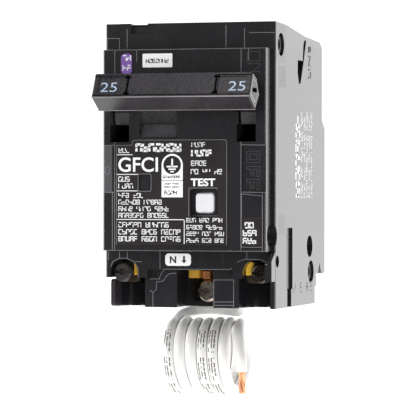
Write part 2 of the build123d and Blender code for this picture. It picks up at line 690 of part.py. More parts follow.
def case_rivets():
    """Two through rivets that hold the poles and the module together, heads in their counterbores."""
    shank = HALF_WIDTH - COUNTERBORE_DEPTH
    with BuildPart() as rivets:
        with BuildSketch(side_plane(-shank)) as bodies:
            with Locations(*RIVET_PLACES):
                Circle(RIVET_RADIUS)
        extrude(bodies.sketch, amount=2 * shank)
        for side in (-1, 1):
            with BuildSketch(side_plane(side * shank)) as heads:
                with Locations(*RIVET_PLACES):
                    Circle(RIVET_HEAD_RADIUS)
            extrude(heads.sketch, amount=side * RIVET_HEAD_THICK)
            with BuildSketch(side_plane(side * (shank + RIVET_HEAD_THICK))) as dimples:
                with Locations(*RIVET_PLACES):
                    Circle(RIVET_RADIUS)
            extrude(dimples.sketch, amount=-side * RIVET_HEAD_THICK, mode=Mode.SUBTRACT)
    return rivets.part


def polar(place, distance, degrees):
    """Point at a distance and lean from a place, the lean measured from +Z towards the line end."""
    turn = radians(degrees)
    return place[0] + distance * sin(turn), place[1] + distance * cos(turn)


def along_tie(reach, depth):
    """Point on the tie's upper face, a reach from its front vertex and a depth below the face."""
    run = TIE_TOP[0] - TIE_VERTEX[0]
    drop = TIE_VERTEX[1] - TIE_TOP[1]
    length = sqrt(run**2 + drop**2)
    face = (run / length, -drop / length)
    inward = (-drop / length, -run / length)
    return (
        TIE_VERTEX[0] + reach * face[0] + depth * inward[0],
        TIE_VERTEX[1] + reach * face[1] + depth * inward[1],
    )


def tip_points(clearance, top):
    """Outline of a handle tip under the tie's upper face."""
    low = TIP_START - clearance
    high = TIP_START + TIE_WINDOW_WIDTH + clearance
    bottom = TIP_DEPTH + clearance
    return [along_tie(low, top), along_tie(high, top), along_tie(high, bottom), along_tie(low, bottom)]


def neck_points(half):
    """Outline of a handle's neck, from its hub up into the tie."""
    foot_low = polar((PIVOT_Y, PIVOT_Z), half, HANDLE_ON_DEG - 90)
    foot_high = polar((PIVOT_Y, PIVOT_Z), half, HANDLE_ON_DEG + 90)
    return [
        foot_low,
        polar(foot_low, NECK_LENGTH, HANDLE_ON_DEG),
        polar(foot_high, NECK_LENGTH, HANDLE_ON_DEG),
        foot_high,
    ]


def handle(name):
    """One pole's handle: hub on its pin, curved shutter behind the window, neck and lettered tip."""
    side = SIDES[name]
    inner_x = HANDLE_X[name] - HANDLE_WIDTH / 2
    with BuildPart() as lever:
        with BuildSketch(side_plane(inner_x)) as profile:
            with BuildLine():
                Polyline(*neck_points(NECK_THICK / 2), close=True)
            make_face()
            with Locations((PIVOT_Y, PIVOT_Z)):
                Circle(HUB_RADIUS)
        extrude(profile.sketch, amount=HANDLE_WIDTH)
        shutter_inner = SHUTTER_RADIUS - SHUTTER_THICK
        pivot = (PIVOT_Y, PIVOT_Z)
        middle = (SHUTTER_LOW_DEG + SHUTTER_HIGH_DEG) / 2
        with BuildSketch(side_plane(inner_x)) as shutter:
            with BuildLine():
                outer = ThreePointArc(
                    polar(pivot, SHUTTER_RADIUS, SHUTTER_LOW_DEG),
                    polar(pivot, SHUTTER_RADIUS, middle),
                    polar(pivot, SHUTTER_RADIUS, SHUTTER_HIGH_DEG),
                )
                inner = ThreePointArc(
                    polar(pivot, shutter_inner, SHUTTER_LOW_DEG),
                    polar(pivot, shutter_inner, middle),
                    polar(pivot, shutter_inner, SHUTTER_HIGH_DEG),
                )
                Line(outer @ 0, inner @ 0)
                Line(outer @ 1, inner @ 1)
            make_face()
        extrude(shutter.sketch, amount=HANDLE_WIDTH)
        tip_low, tip_high = sorted((side * TIP_INNER_X, side * TIP_OUTER_X))
        with BuildSketch(side_plane(tip_low)) as tip:
            with BuildLine():
                Polyline(*tip_points(0, TIP_RECESS), close=True)
            make_face()
        extrude(tip.sketch, amount=tip_high - tip_low)
        with BuildSketch(side_plane(inner_x)) as bore:
            with Locations(pivot):
                Circle(PIN_RADIUS + PIN_RUNNING_FIT)
        extrude(bore.sketch, amount=HANDLE_WIDTH, mode=Mode.SUBTRACT)
    return lever.part


def handle_tie():
    """Kite-shaped bar that caps both handle tips so that the poles switch together."""
    with BuildPart() as tie:
        with BuildSketch(side_plane(-TIE_HALF)) as kite:
            with BuildLine():
                Polyline(TIE_VERTEX, TIE_TOP, TIE_BACK_HIGH, TIE_BACK, TIE_LOW, close=True)
            make_face()
        extrude(kite.sketch, amount=2 * TIE_HALF)
        chamfer(tie.faces().filter_by(Axis.X).edges(), TIE_CHAMFER)
        for name, side in SIDES.items():
            tip_low, tip_high = sorted((side * TIP_INNER_X, side * TIP_OUTER_X))
            with BuildSketch(side_plane(tip_low - TIE_FIT)) as pocket:
                with BuildLine():
                    Polyline(*tip_points(TIE_FIT, -TIE_FIT), close=True)
                make_face()
            extrude(pocket.sketch, amount=tip_high - tip_low + 2 * TIE_FIT, mode=Mode.SUBTRACT)
            neck_low = HANDLE_X[name] - HANDLE_WIDTH / 2 - TIE_FIT
            with BuildSketch(side_plane(neck_low)) as passage:
                with BuildLine():
                    Polyline(*neck_points(NECK_THICK / 2 + TIE_FIT), close=True)
                make_face()
            extrude(passage.sketch, amount=HANDLE_WIDTH + 2 * TIE_FIT, mode=Mode.SUBTRACT)
            with BuildSketch(side_plane(side * TIE_HALF)) as pin_hole:
                with Locations(along_tie(TIP_START + TIE_WINDOW_WIDTH / 2, TIP_DEPTH)):
                    Circle(TIE_PIN_RADIUS)
            extrude(pin_hole.sketch, amount=-side * TIE_PIN_DEPTH, mode=Mode.SUBTRACT)
            notch_x = sorted((side * (TIP_INNER_X - TIE_NOTCH), side * TIP_INNER_X))
            with BuildSketch(side_plane(notch_x[0])) as notches:
                for reach in (TIP_START, TIP_START + TIE_WINDOW_WIDTH):
                    with BuildLine():
                        Polyline(
                            along_tie(reach - TIE_NOTCH / 2, -TIE_FIT),
                            along_tie(reach + TIE_NOTCH / 2, -TIE_FIT),
                            along_tie(reach + TIE_NOTCH / 2, TIE_NOTCH),
                            along_tie(reach - TIE_NOTCH / 2, TIE_NOTCH),
                            close=True,
                        )
                    make_face()
            extrude(notches.sketch, amount=TIE_NOTCH, mode=Mode.SUBTRACT)
    return tie.part


def pivot_pins(name):
    """The pole's pivot pins, seated in the bosses of its shell and its plate."""
    side = SIDES[name]
    with BuildPart() as pins:
        with BuildSketch(side_plane(side * PLATE_OUTER_X)) as ends:
            with Locations(*PIN_PLACES):
                Circle(PIN_RADIUS)
        extrude(ends.sketch, amount=side * (CAVITY_X - PLATE_OUTER_X))
    return pins.part


def link(points, name, thickness, pivot, extra=()):
    """A flat link on a pin: an outline with a round hub, and any further outlines."""
    low = HANDLE_X[name] - thickness / 2
    hub_low = HANDLE_X[name] - HANDLE_WIDTH / 2
    with BuildPart() as body:
        with BuildSketch(side_plane(low)) as profile:
            for outline in (points, *extra):
                with BuildLine():
                    Polyline(*outline, close=True)
                make_face()
        extrude(profile.sketch, amount=thickness)
        with BuildSketch(side_plane(hub_low)) as hub:
            with Locations(pivot):
                Circle(LINK_HUB_RADIUS)
        extrude(hub.sketch, amount=HANDLE_WIDTH)
        with BuildSketch(side_plane(hub_low)) as bore:
            with Locations(pivot):
                Circle(PIN_RADIUS + PIN_RUNNING_FIT)
        extrude(bore.sketch, amount=HANDLE_WIDTH, mode=Mode.SUBTRACT)
    return body.part


def contact_arm(name):
    """Moving contact arm that hangs from its pin, with the silver contact at its tip."""
    half = ARM_HALF_DEPTH
    arm = [
        (ARM_PIVOT[0] - half, ARM_PIVOT[1]),
        (ARM_PIVOT[0] + half, ARM_PIVOT[1]),
        (ARM_TIP[0] + half, ARM_TIP[1]),
        (ARM_TIP[0] - half, ARM_TIP[1] - half),
    ]
    face_y = ARM_TIP[0] + half + CONTACT_THICK
    contact = [
        (ARM_TIP[0], ARM_TIP[1]),
        (face_y, ARM_TIP[1]),
        (face_y, ARM_TIP[1] + 2 * CONTACT_RADIUS),
        (ARM_TIP[0], ARM_TIP[1] + 2 * CONTACT_RADIUS),
    ]
    return link(arm, name, ARM_THICK, ARM_PIVOT, extra=(contact,))


def line_jaw(name):
    """Spring jaw for the bus stab with the fixed contact on its upright."""
    side = SIDES[name]
    centre = side * POLE_MID_X
    half_length = JAW_LENGTH / 2
    lengthwise = (JAW_CENTRE_Y - half_length, JAW_CENTRE_Y + half_length)
    outer = JAW_GAP / 2 + JAW_LEAF
    contact_face = ARM_TIP[0] + ARM_HALF_DEPTH + CONTACT_THICK + CONTACT_GAP
    upright = (contact_face + CONTACT_THICK, contact_face + CONTACT_THICK + UPRIGHT_THICK)
    width = (HANDLE_X[name] - ARM_THICK / 2, HANDLE_X[name] + ARM_THICK / 2)
    contact_z = (ARM_TIP[1], ARM_TIP[1] + 2 * CONTACT_RADIUS)
    with BuildPart() as jaw:
        for sign in (-1, 1):
            leaf = sorted((centre + sign * JAW_GAP / 2, centre + sign * outer))
            box_cut(leaf, lengthwise, (JAW_MOUTH_Z, JAW_TOP_Z), mode=Mode.ADD)
            lead = sorted((centre + sign * (JAW_GAP / 2 + JAW_LEAD), centre + sign * (outer + JAW_LEAD)))
            box_cut(lead, lengthwise, (JAW_MOUTH_Z - JAW_LEAD, JAW_MOUTH_Z + JAW_LEAF), mode=Mode.ADD)
        bridge_x = (centre - outer, centre + outer)
        bridge_y = (upright[0], lengthwise[1])
        box_cut(bridge_x, bridge_y, (JAW_TOP_Z, JAW_TOP_Z + JAW_LEAF), mode=Mode.ADD)
        box_cut(width, upright, (JAW_TOP_Z, contact_z[1]), mode=Mode.ADD)
        box_cut(width, (contact_face, upright[0]), contact_z, mode=Mode.ADD)
        shelf = sorted((side * PLATE_OUTER_X, side * CAVITY_X))
        box_cut(shelf, (lengthwise[1] - UPRIGHT_THICK, lengthwise[1]),
                (JAW_TOP_Z, JAW_TOP_Z + JAW_LEAF), mode=Mode.ADD)
    return jaw.part


def jaw_clip(name):
    """Steel clip round the jaw that presses its leaves on the stab."""
    centre = SIDES[name] * POLE_MID_X
    inner = JAW_GAP / 2 + JAW_LEAF
    outer = inner + CLIP_THICK
    lengthwise = (JAW_CENTRE_Y - CLIP_HALF, JAW_CENTRE_Y + CLIP_HALF)
    top = JAW_TOP_Z + JAW_LEAF
    with BuildPart() as clip:
        for sign in (-1, 1):
            leaf = sorted((centre + sign * inner, centre + sign * outer))
            box_cut(leaf, lengthwise, (JAW_MOUTH_Z + 2 * JAW_LEAF, top), mode=Mode.ADD)
        box_cut((centre - outer, centre + outer), lengthwise, (top, top + CLIP_THICK), mode=Mode.ADD)
    return clip.part


def arc_chute(name):
    """Stack of steel plates that stretches and cools the arc below the contacts."""
    side = SIDES[name]
    wide = sorted((side * PLATE_OUTER_X, side * CAVITY_X))
    with BuildPart() as chute:
        for index in range(CHUTE_PLATES):
            z = CHUTE_LOW_Z + index * CHUTE_PITCH
            box_cut(wide, CHUTE_Y, (z, z + CHUTE_THICK), mode=Mode.ADD)
            throat = (HANDLE_X[name] - ARM_THICK / 2, HANDLE_X[name] + ARM_THICK / 2)
            box_cut(throat, (CHUTE_Y[1] - CHUTE_THROAT, CHUTE_Y[1]), (z, z + CHUTE_THICK))
    return chute.part


def cradle(name):
    """Trip lever whose nose is held in the armature's latch."""
    nose, half = CRADLE_NOSE, CRADLE_DEPTH / 2
    lever = [
        (CRADLE_PIVOT[0], CRADLE_PIVOT[1] - half),
        (CRADLE_PIVOT[0], CRADLE_PIVOT[1] + half),
        (nose[0], nose[1] + half),
        (nose[0], nose[1]),
    ]
    return link(lever, name, CRADLE_THICK, CRADLE_PIVOT)


def armature(name):
    """Iron flap that the fault current pulls to the yoke to free the cradle's nose."""
    pivot_y, pivot_z = ARMATURE_PIVOT
    flap = [
        (pivot_y - ARMATURE_THICK, pivot_z),
        (pivot_y, pivot_z),
        (pivot_y, ARMATURE_LOW_Z),
        (pivot_y - ARMATURE_THICK, ARMATURE_LOW_Z),
    ]
    return link(flap, name, ARMATURE_WIDTH, ARMATURE_PIVOT)


def bimetal(name):
    """Bimetal strip on its foot, welded to the load terminal through the load wall."""
    half = BIMETAL_WIDTH / 2
    wide = (HANDLE_X[name] - half, HANDLE_X[name] + half)
    with BuildPart() as strip:
        box_cut(wide, (BIMETAL_Y, BIMETAL_Y + BIMETAL_THICK), BIMETAL_Z, mode=Mode.ADD)
        foot_z = (BIMETAL_Z[1] - BIMETAL_FOOT, BIMETAL_Z[1])
        box_cut(wide, (LOAD_WALL_Y, BIMETAL_Y), foot_z, mode=Mode.ADD)
    return strip.part


def yoke(name):
    """U-shaped iron yoke that surrounds the bimetal and faces the armature."""
    half = BIMETAL_WIDTH / 2 + YOKE_SIDE_GAP
    centre = HANDLE_X[name]
    outer = half + YOKE_THICK
    back = (LOAD_WALL_Y, LOAD_WALL_Y + YOKE_THICK)
    front_y = ARMATURE_PIVOT[0] - ARMATURE_THICK - YOKE_GAP
    with BuildPart() as iron:
        box_cut((centre - outer, centre + outer), back, YOKE_Z, mode=Mode.ADD)
        for sign in (-1, 1):
            limb = sorted((centre + sign * half, centre + sign * outer))
            box_cut(limb, (back[1], front_y), YOKE_Z, mode=Mode.ADD)
    return iron.part


def rope(points, corner_radii, radius, x):
    """A round wire along straight runs joined by tangent arcs, in the side plane at X = x."""
    with BuildPart() as wire:
        with BuildLine(side_plane(x)) as path:
            FilletPolyline(*points, radius=corner_radii)
        with BuildSketch(Plane(origin=path.line @ 0, z_dir=path.line % 0)) as section:
            Circle(radius)
        sweep(section.sketch, path=path.line)
    return wire.part


def braid(name):
    """Flexible braid from the bimetal's free end to the contact arm."""
    start = (BIMETAL_Y + BIMETAL_THICK + BRAID_RADIUS, BIMETAL_Z[0] + BRAID_RADIUS)
    finish = (ARM_PIVOT[0] - LINK_HUB_RADIUS - BRAID_RADIUS - BRAID_GAP, ARM_PIVOT[1] - BRAID_RADIUS)
    points = [start, *BRAID_ROUTE, finish]
    return rope(points, BRAID_BENDS, BRAID_RADIUS, HANDLE_X[name])


def toggle_spring(name):
    """Toggle spring between the contact arm and the cradle, as the tube that its coils fill."""
    centre = HANDLE_X[name] - SIDES[name] * SPRING_OFFSET
    start = side_plane(centre).from_local_coords(Vector(*SPRING_ARM_END))
    finish = side_plane(centre).from_local_coords(Vector(*SPRING_CRADLE_END))
    along = finish - start
    with BuildPart() as spring:
        with BuildSketch(Plane(origin=start, z_dir=along)) as ring:
            Circle(SPRING_RADIUS)
            Circle(SPRING_BORE_RADIUS, mode=Mode.SUBTRACT)
        extrude(ring.sketch, amount=along.length)
    return spring.part


def round_bar(centre, radius, z_low, z_high, mode=Mode.ADD):
    """An upright cylinder between two heights, added to or cut from the part being built."""
    with BuildSketch(front_plane(z_low)) as disc:
        with Locations(centre):
            Circle(radius)
    extrude(disc.sketch, amount=z_high - z_low, mode=mode)


def slotted_screw(centre, head_radius, seat_z, shank_depth):
    """Combination-head terminal screw: domed head with a slot and a square socket, and its shank."""
    top = seat_z + SCREW_HEAD_HEIGHT
    with BuildPart() as screw:
        round_bar(centre, head_radius, seat_z, top)
        fillet(screw.faces().sort_by(Axis.Z)[-1].edges(), SCREW_HEAD_HEIGHT / 2)
        round_bar(centre, SCREW_SHANK_RADIUS, seat_z - shank_depth, seat_z)
        half_slot = SCREW_SLOT / 2
        slot_z = (top - SCREW_DRIVE_DEPTH, top)
        box_cut((centre[0] - head_radius, centre[0] + head_radius),
                (centre[1] - half_slot, centre[1] + half_slot), slot_z)
        box_cut((centre[0] - 2 * half_slot, centre[0] + 2 * half_slot),
                (centre[1] - 2 * half_slot, centre[1] + 2 * half_slot), slot_z)
    return screw.part


def wire_lug(name):
    """Box lug with its wire bore along the length and a screw hole from the front."""
    centre = (SIDES[name] * LUG_X, LUG_CENTRE_Y)
    screw_place = (SIDES[name] * LUG_SCREW_X, LUG_CENTRE_Y)
    half = LUG_WIDTH / 2
    lengthwise = (LUG_CENTRE_Y - LUG_LENGTH / 2, LUG_CENTRE_Y + LUG_LENGTH / 2)
    top = CHAMBER_FLOOR_Z + LUG_HEIGHT
    bore_z = CHAMBER_FLOOR_Z + LUG_HEIGHT / 2 - STRAP_THICK
    with BuildPart() as lug:
        box_cut((centre[0] - half, centre[0] + half), lengthwise, (CHAMBER_FLOOR_Z, top), mode=Mode.ADD)
        fillet(lug.edges().filter_by(Axis.Y), EDGE_BREAK)
        with BuildSketch(end_plane(lengthwise[1])) as bore:
            with Locations((centre[0], bore_z)):
                Circle(LUG_BORE_RADIUS)
        extrude(bore.sketch, amount=LUG_LENGTH, mode=Mode.SUBTRACT)
        round_bar(screw_place, SCREW_HOLE_RADIUS, bore_z, top, mode=Mode.SUBTRACT)
    return lug.part


def load_strap(name):
    """Brass terminal strap on the lug, its round tongue showing beside the screw."""
    side = SIDES[name]
    seat = CHAMBER_FLOOR_Z + LUG_HEIGHT
    centre = (side * LUG_SCREW_X, LUG_CENTRE_Y)
    inner = LUG_X - ARCH_WIDTH / 2 + WINDOW_CLEAR / 2
    outer = LUG_X + LUG_WIDTH / 2
    middle, width = span(side * inner, side * outer)
    with BuildPart() as strap:
        with BuildSketch(front_plane(seat)) as tongue:
            with Locations((middle, LUG_CENTRE_Y)):
                Rectangle(width, LUG_LENGTH)
            fillet(tongue.vertices(), LUG_LENGTH / 3)
        extrude(tongue.sketch, amount=STRAP_THICK)
        round_bar(centre, SCREW_HOLE_RADIUS, seat, seat + STRAP_THICK, mode=Mode.SUBTRACT)
    return strap.part


def lug_screw(name):
    """Screw of one line lug, its tip short of the bore's middle."""
    seat = CHAMBER_FLOOR_Z + LUG_HEIGHT + STRAP_THICK
    bore_z = CHAMBER_FLOOR_Z + LUG_HEIGHT / 2 - STRAP_THICK
    shank_depth = seat - bore_z - LUG_BORE_RADIUS - SCREW_TIP_GAP
    return slotted_screw((SIDES[name] * LUG_SCREW_X, LUG_CENTRE_Y), SCREW_HEAD_RADIUS, seat, shank_depth)


def neutral_bar():
    """Brass neutral terminal: floor bar with the upright tower beside its screw."""
    floor = NEUTRAL_FLOOR_Z
    top = floor + NEUTRAL_BAR_THICK
    with BuildPart() as bar:
        box_cut((NEUTRAL_TOWER[0], NEUTRAL_HIGH_X - EDGE_BREAK), (NEUTRAL_LOW_Y, NEUTRAL_TOWER_Y[1]),
                (floor, top), mode=Mode.ADD)
        box_cut(NEUTRAL_TOWER, NEUTRAL_TOWER_Y, (top, top + NEUTRAL_TOWER_RISE), mode=Mode.ADD)
        round_bar((NEUTRAL_SCREW_X, NEUTRAL_SCREW_Y), SCREW_HOLE_RADIUS, floor, top, mode=Mode.SUBTRACT)
    return bar.part


def neutral_clamp():
    """Copper clamp plate under the neutral screw, with its lip turned up by the tower."""
    seat = NEUTRAL_FLOOR_Z + NEUTRAL_BAR_THICK
    high_x = NEUTRAL_HIGH_X - EDGE_BREAK
    top = seat + NEUTRAL_CLAMP_THICK
    with BuildPart() as clamp:
        box_cut((NEUTRAL_TOWER[0], high_x), (NEUTRAL_LOW_Y, NEUTRAL_TOWER_Y[0] - NEUTRAL_LIP_GAP),
                (seat, top), mode=Mode.ADD)
        lip_low = NEUTRAL_TOWER[1] + NEUTRAL_LIP_GAP
        lip_x = (lip_low, lip_low + NEUTRAL_LIP_WIDTH)
        box_cut(lip_x, (NEUTRAL_TOWER_Y[0] - NEUTRAL_LIP_GAP, NEUTRAL_TOWER_Y[1] - EDGE_BREAK),
                (seat, top + 2 * NEUTRAL_CLAMP_THICK), mode=Mode.ADD)
        round_bar((NEUTRAL_SCREW_X, NEUTRAL_SCREW_Y), SCREW_HOLE_RADIUS, seat, top, mode=Mode.SUBTRACT)
    return clamp.part


def neutral_screw():
    """Screw of the neutral terminal."""
    seat = NEUTRAL_FLOOR_Z + NEUTRAL_BAR_THICK + NEUTRAL_CLAMP_THICK
    place = (NEUTRAL_SCREW_X, NEUTRAL_SCREW_Y)
    return slotted_screw(place, NEUTRAL_HEAD_RADIUS, seat, seat - NEUTRAL_FLOOR_Z)


def test_button():
    """Square white button with a flange under the front's skin."""
    skin_z = FRONT_Z - SKIN
    with BuildPart() as button:
        with BuildSketch(front_plane(skin_z)) as stem:
            with Locations((BUTTON_X, BUTTON_Y)):
                RectangleRounded(BUTTON_SIZE, BUTTON_SIZE, BUTTON_CORNER)
        extrude(stem.sketch, amount=SKIN + BUTTON_PROUD - RECESS_DEPTH)
        fillet(button.faces().sort_by(Axis.Z)[-1].edges(), EDGE_BREAK)
        wide = BUTTON_SIZE + 2 * BUTTON_FLANGE
        with BuildSketch(front_plane(skin_z - BUTTON_FLANGE)) as flange:
            with Locations((BUTTON_X, BUTTON_Y)):
                RectangleRounded(wide, wide, BUTTON_CORNER)
        extrude(flange.sketch, amount=BUTTON_FLANGE)
        round_bar((BUTTON_X, BUTTON_Y), BUTTON_STEM_RADIUS, skin_z - BUTTON_STEM, skin_z - BUTTON_FLANGE)
    return button.part


def button_spring():
    """Return spring of the test button, as the tube that its coils fill."""
    base = BOARD_Z + BOARD_THICK
    top = FRONT_Z - SKIN - BUTTON_FLANGE
    with BuildPart() as spring:
        round_bar((BUTTON_X, BUTTON_Y), BUTTON_SPRING_RADIUS, base, top)
        round_bar((BUTTON_X, BUTTON_Y), BUTTON_SPRING_RADIUS - BUTTON_SPRING_WALL, base, top,
                  mode=Mode.SUBTRACT)
    return spring.part


def indicator_lens():
    """Dark window of the trip indicator, seated in its hole in the front."""
    with BuildPart() as lens:
        with BuildSketch(front_plane(FRONT_Z - SKIN)) as window:
            with Locations((INDICATOR_X, INDICATOR_Y)):
                RectangleRounded(INDICATOR_WIDTH, INDICATOR_LENGTH, INDICATOR_CORNER)
        extrude(window.sketch, amount=SKIN - INDICATOR_SINK)
    return lens.part


def circuit_board():
    """Board of the ground-fault electronics, on the posts of the module base."""
    half = MODULE_HALF - MODULE_WALL - BOARD_MARGIN
    low = LOAD_WALL_Y + BOARD_MARGIN
    high = FRONT_LINE_Y - SKIN - BOARD_MARGIN
    with BuildPart() as board:
        box_cut((-half, half), (low, high), (BOARD_Z, BOARD_Z + BOARD_THICK), mode=Mode.ADD)
        for sign in (-1, 1):
            with Locations(front_plane(BOARD_Z + BOARD_THICK)):
                with Locations((sign * (half - BOARD_HOLE_INSET), high - BOARD_HOLE_INSET)):
                    Hole(radius=BOARD_HOLE_RADIUS, depth=BOARD_THICK)
    return board.part


def board_parts():
    """Components on the board: a chip, a relay, capacitors and resistors."""
    top = BOARD_Z + BOARD_THICK
    with BuildPart() as parts:
        for centre, size, height in BOARD_BLOCKS:
            box_cut((centre[0] - size[0] / 2, centre[0] + size[0] / 2),
                    (centre[1] - size[1] / 2, centre[1] + size[1] / 2), (top, top + height), mode=Mode.ADD)
        for centre, radius, height in BOARD_CANS:
            round_bar(centre, radius, top, top + height)
    return parts.part


def sensing_coil():
    """Ring core that both pole conductors pass through."""
    floor = BACK_STEP_Z + WALL
    with BuildPart() as ring:
        round_bar(SENSOR_PLACE, SENSOR_RADIUS, floor, floor + SENSOR_HEIGHT)
        round_bar(SENSOR_PLACE, SENSOR_BORE, floor, floor + SENSOR_HEIGHT, mode=Mode.SUBTRACT)
        fillet(ring.edges().filter_by(GeomType.CIRCLE), EDGE_BREAK)
    return ring.part


def solenoid():
    """Trip solenoid: coil body on its bracket, with the plunger's bore."""
    half = SOLENOID_SIZE / 2
    with BuildPart() as coil:
        with BuildSketch(end_plane(SOLENOID_Y[1])) as winding:
            with Locations((0, SOLENOID_Z)):
                Circle(SOLENOID_RADIUS)
        extrude(winding.sketch, amount=SOLENOID_Y[1] - SOLENOID_Y[0])
        for y in SOLENOID_Y:
            box_cut((-half, half), (y - MODULE_WALL / 2, y + MODULE_WALL / 2),
                    (WALL, SOLENOID_Z + half), mode=Mode.ADD)
        with BuildSketch(end_plane(SOLENOID_Y[1] + MODULE_WALL)) as bore:
            with Locations((0, SOLENOID_Z)):
                Circle(PLUNGER_RADIUS + PLUNGER_FIT)
        extrude(bore.sketch, amount=SOLENOID_Y[1] - SOLENOID_Y[0] + 2 * MODULE_WALL, mode=Mode.SUBTRACT)
    return coil.part


def plunger():
    """Solenoid plunger that pushes the trip bar's middle finger."""
    nose_y = TRIP_BAR_PLACE[0] + FINGER_THICK / 2 + FINGER_GAP
    tail_y = SOLENOID_Y[1] - PLUNGER_OUT
    with BuildPart() as rod:
        with BuildSketch(end_plane(tail_y)) as section:
            with Locations((0, SOLENOID_Z)):
                Circle(PLUNGER_RADIUS)
        extrude(section.sketch, amount=tail_y - nose_y)
    return rod.part


def trip_bar():
    """Common trip bar through both pole plates, with a finger for the plunger and one per armature."""
    y, z = TRIP_BAR_PLACE
    reach = CAVITY_X - BAR_END_GAP
    with BuildPart() as bar:
        with BuildSketch(side_plane(-reach)) as shaft:
            with Locations(TRIP_BAR_PLACE):
                Circle(TRIP_BAR_RADIUS)
        extrude(shaft.sketch, amount=2 * reach)
        half = FINGER_THICK / 2
        for centre in (0, HANDLE_LEFT_X, HANDLE_RIGHT_X):
            wide = (centre - FINGER_WIDTH / 2, centre + FINGER_WIDTH / 2)
            box_cut(wide, (y - half, y + half), (SOLENOID_Z - FINGER_THICK, z), mode=Mode.ADD)
    return bar.part


def label(centre, size, z, corner):
    """A thin printed label on a face of the front."""
    with BuildPart() as sticker:
        with BuildSketch(front_plane(z)) as outline:
            with Locations(centre):
                RectangleRounded(size[0], size[1], corner)
        extrude(outline.sketch, amount=LABEL_THICK)
    return sticker.part


def nameplate():
    """Printed plate on the front cover, with one stepped corner, round the button and the indicator."""
    with BuildPart() as plate:
        with BuildSketch(front_plane(FRONT_Z)) as outline:
            with BuildLine():
                Polyline(
                    (NAMEPLATE_X[0], NAMEPLATE_Y[0]),
                    (NAMEPLATE_X[1], NAMEPLATE_Y[0]),
                    (NAMEPLATE_X[1], NAMEPLATE_Y[1]),
                    (NAMEPLATE_CORNER[0], NAMEPLATE_Y[1]),
                    (NAMEPLATE_CORNER[0], NAMEPLATE_CORNER[1]),
                    (NAMEPLATE_X[0], NAMEPLATE_CORNER[1]),
                    close=True,
                )
            make_face()
            fillet(outline.vertices(), LABEL_CORNER)
            with Locations((BUTTON_X, BUTTON_Y)):
                RectangleRounded(RECESS_LENGTH, RECESS_LENGTH, RECESS_CORNER, mode=Mode.SUBTRACT)
            with Locations((INDICATOR_X, INDICATOR_Y)):
                RectangleRounded(INDICATOR_WIDTH, INDICATOR_LENGTH, INDICATOR_CORNER, mode=Mode.SUBTRACT)
        extrude(outline.sketch, amount=LABEL_THICK)
    return plate.part


def side_print():
    """Printed block on the right pole's outer face."""
    y_mid, y_size = span(*SIDE_PRINT_Y)
    z_mid, z_size = span(*SIDE_PRINT_Z)
    with BuildPart() as print_block:
        with BuildSketch(side_plane(HALF_WIDTH - PRINT_THICK)) as outline:
            with Locations((y_mid, z_mid)):
                RectangleRounded(y_size, z_size, LABEL_CORNER)
        extrude(outline.sketch, amount=PRINT_THICK)
    return print_block.part


def lead_points():
    """Route of the neutral lead's free run, from inside the load end to the coil's first turn."""
    load_end = -LENGTH / 2
    return [
        Vector(LEAD_EXIT_X, load_end + LEAD_SLEEVE, LEAD_EXIT_Z),
        Vector(LEAD_EXIT_X, load_end - 2.6, LEAD_EXIT_Z),
        Vector(-2.5, load_end - 2.6, 8.5),
        Vector(-8.5, load_end - 2.6, 4.2),
        Vector(-14.2, load_end - 2.8, 3.6),
        Vector(-17.9, load_end - 4.1, 6.9),
        Vector(COIL_FIRST_X, load_end + COIL_AXIS_Y + COIL_MEAN_RADIUS, COIL_AXIS_Z),
    ]


def lead_radii(points):
    """Arc radius at each inner point: a share of the shorter run over the tangent of half the turn."""
    radii = []
    for before, corner, after in zip(points, points[1:], points[2:]):
        run_in = corner - before
        run_out = after - corner
        shorter = min(run_in.length, run_out.length)
        turn = radians(run_in.get_angle(run_out))
        radii.append(LEAD_RUN_SHARE * shorter * cos(turn / 2) / sin(turn / 2))
    return radii


def lead_run():
    """The lead's free run as one round tube."""
    points = lead_points()
    radii = lead_radii(points)
    print("lead radii:", [round(radius, 2) for radius in radii])
    with BuildPart() as tube:
        with BuildLine() as path:
            FilletPolyline(*points, radius=radii)
        route = path.wires()[0]
        with BuildSketch(Plane(origin=route @ 0, z_dir=route % 0)) as section:
            Circle(LEAD_RADIUS)
        sweep(section.sketch, path=route)
    ratio = tube.part.volume / (pi * LEAD_RADIUS**2 * route.length)
    print("lead run length:", round(route.length, 2), "volume ratio:", round(ratio, 4))
    return tube.part


def lead_coil():
    """Outer shape of the lead's coil, lying with its axis across the load end."""
    low_x = COIL_FIRST_X - LEAD_RADIUS
    high_x = COIL_FIRST_X + (COIL_TURNS - 1) * COIL_PITCH + LEAD_RADIUS
    centre = (COIL_AXIS_Y, COIL_AXIS_Z)
    with BuildPart() as coil:
        with BuildSketch(side_plane(low_x)) as ring:
            with Locations(centre):
                Circle(COIL_MEAN_RADIUS + LEAD_RADIUS)
                Circle(COIL_MEAN_RADIUS - LEAD_RADIUS, mode=Mode.SUBTRACT)
        extrude(ring.sketch, amount=high_x - low_x)
    return coil.part


def lead_end(start_y, length, radius):
    """A straight piece of the lead's far end, lying along the length on top of the coil's last turn."""
    with BuildPart() as piece:
        with BuildSketch(end_plane(start_y)) as section:
            with Locations((TAIL_X, COIL_AXIS_Z + COIL_MEAN_RADIUS)):
                Circle(radius)
        extrude(section.sketch, amount=length)
    return piece.part


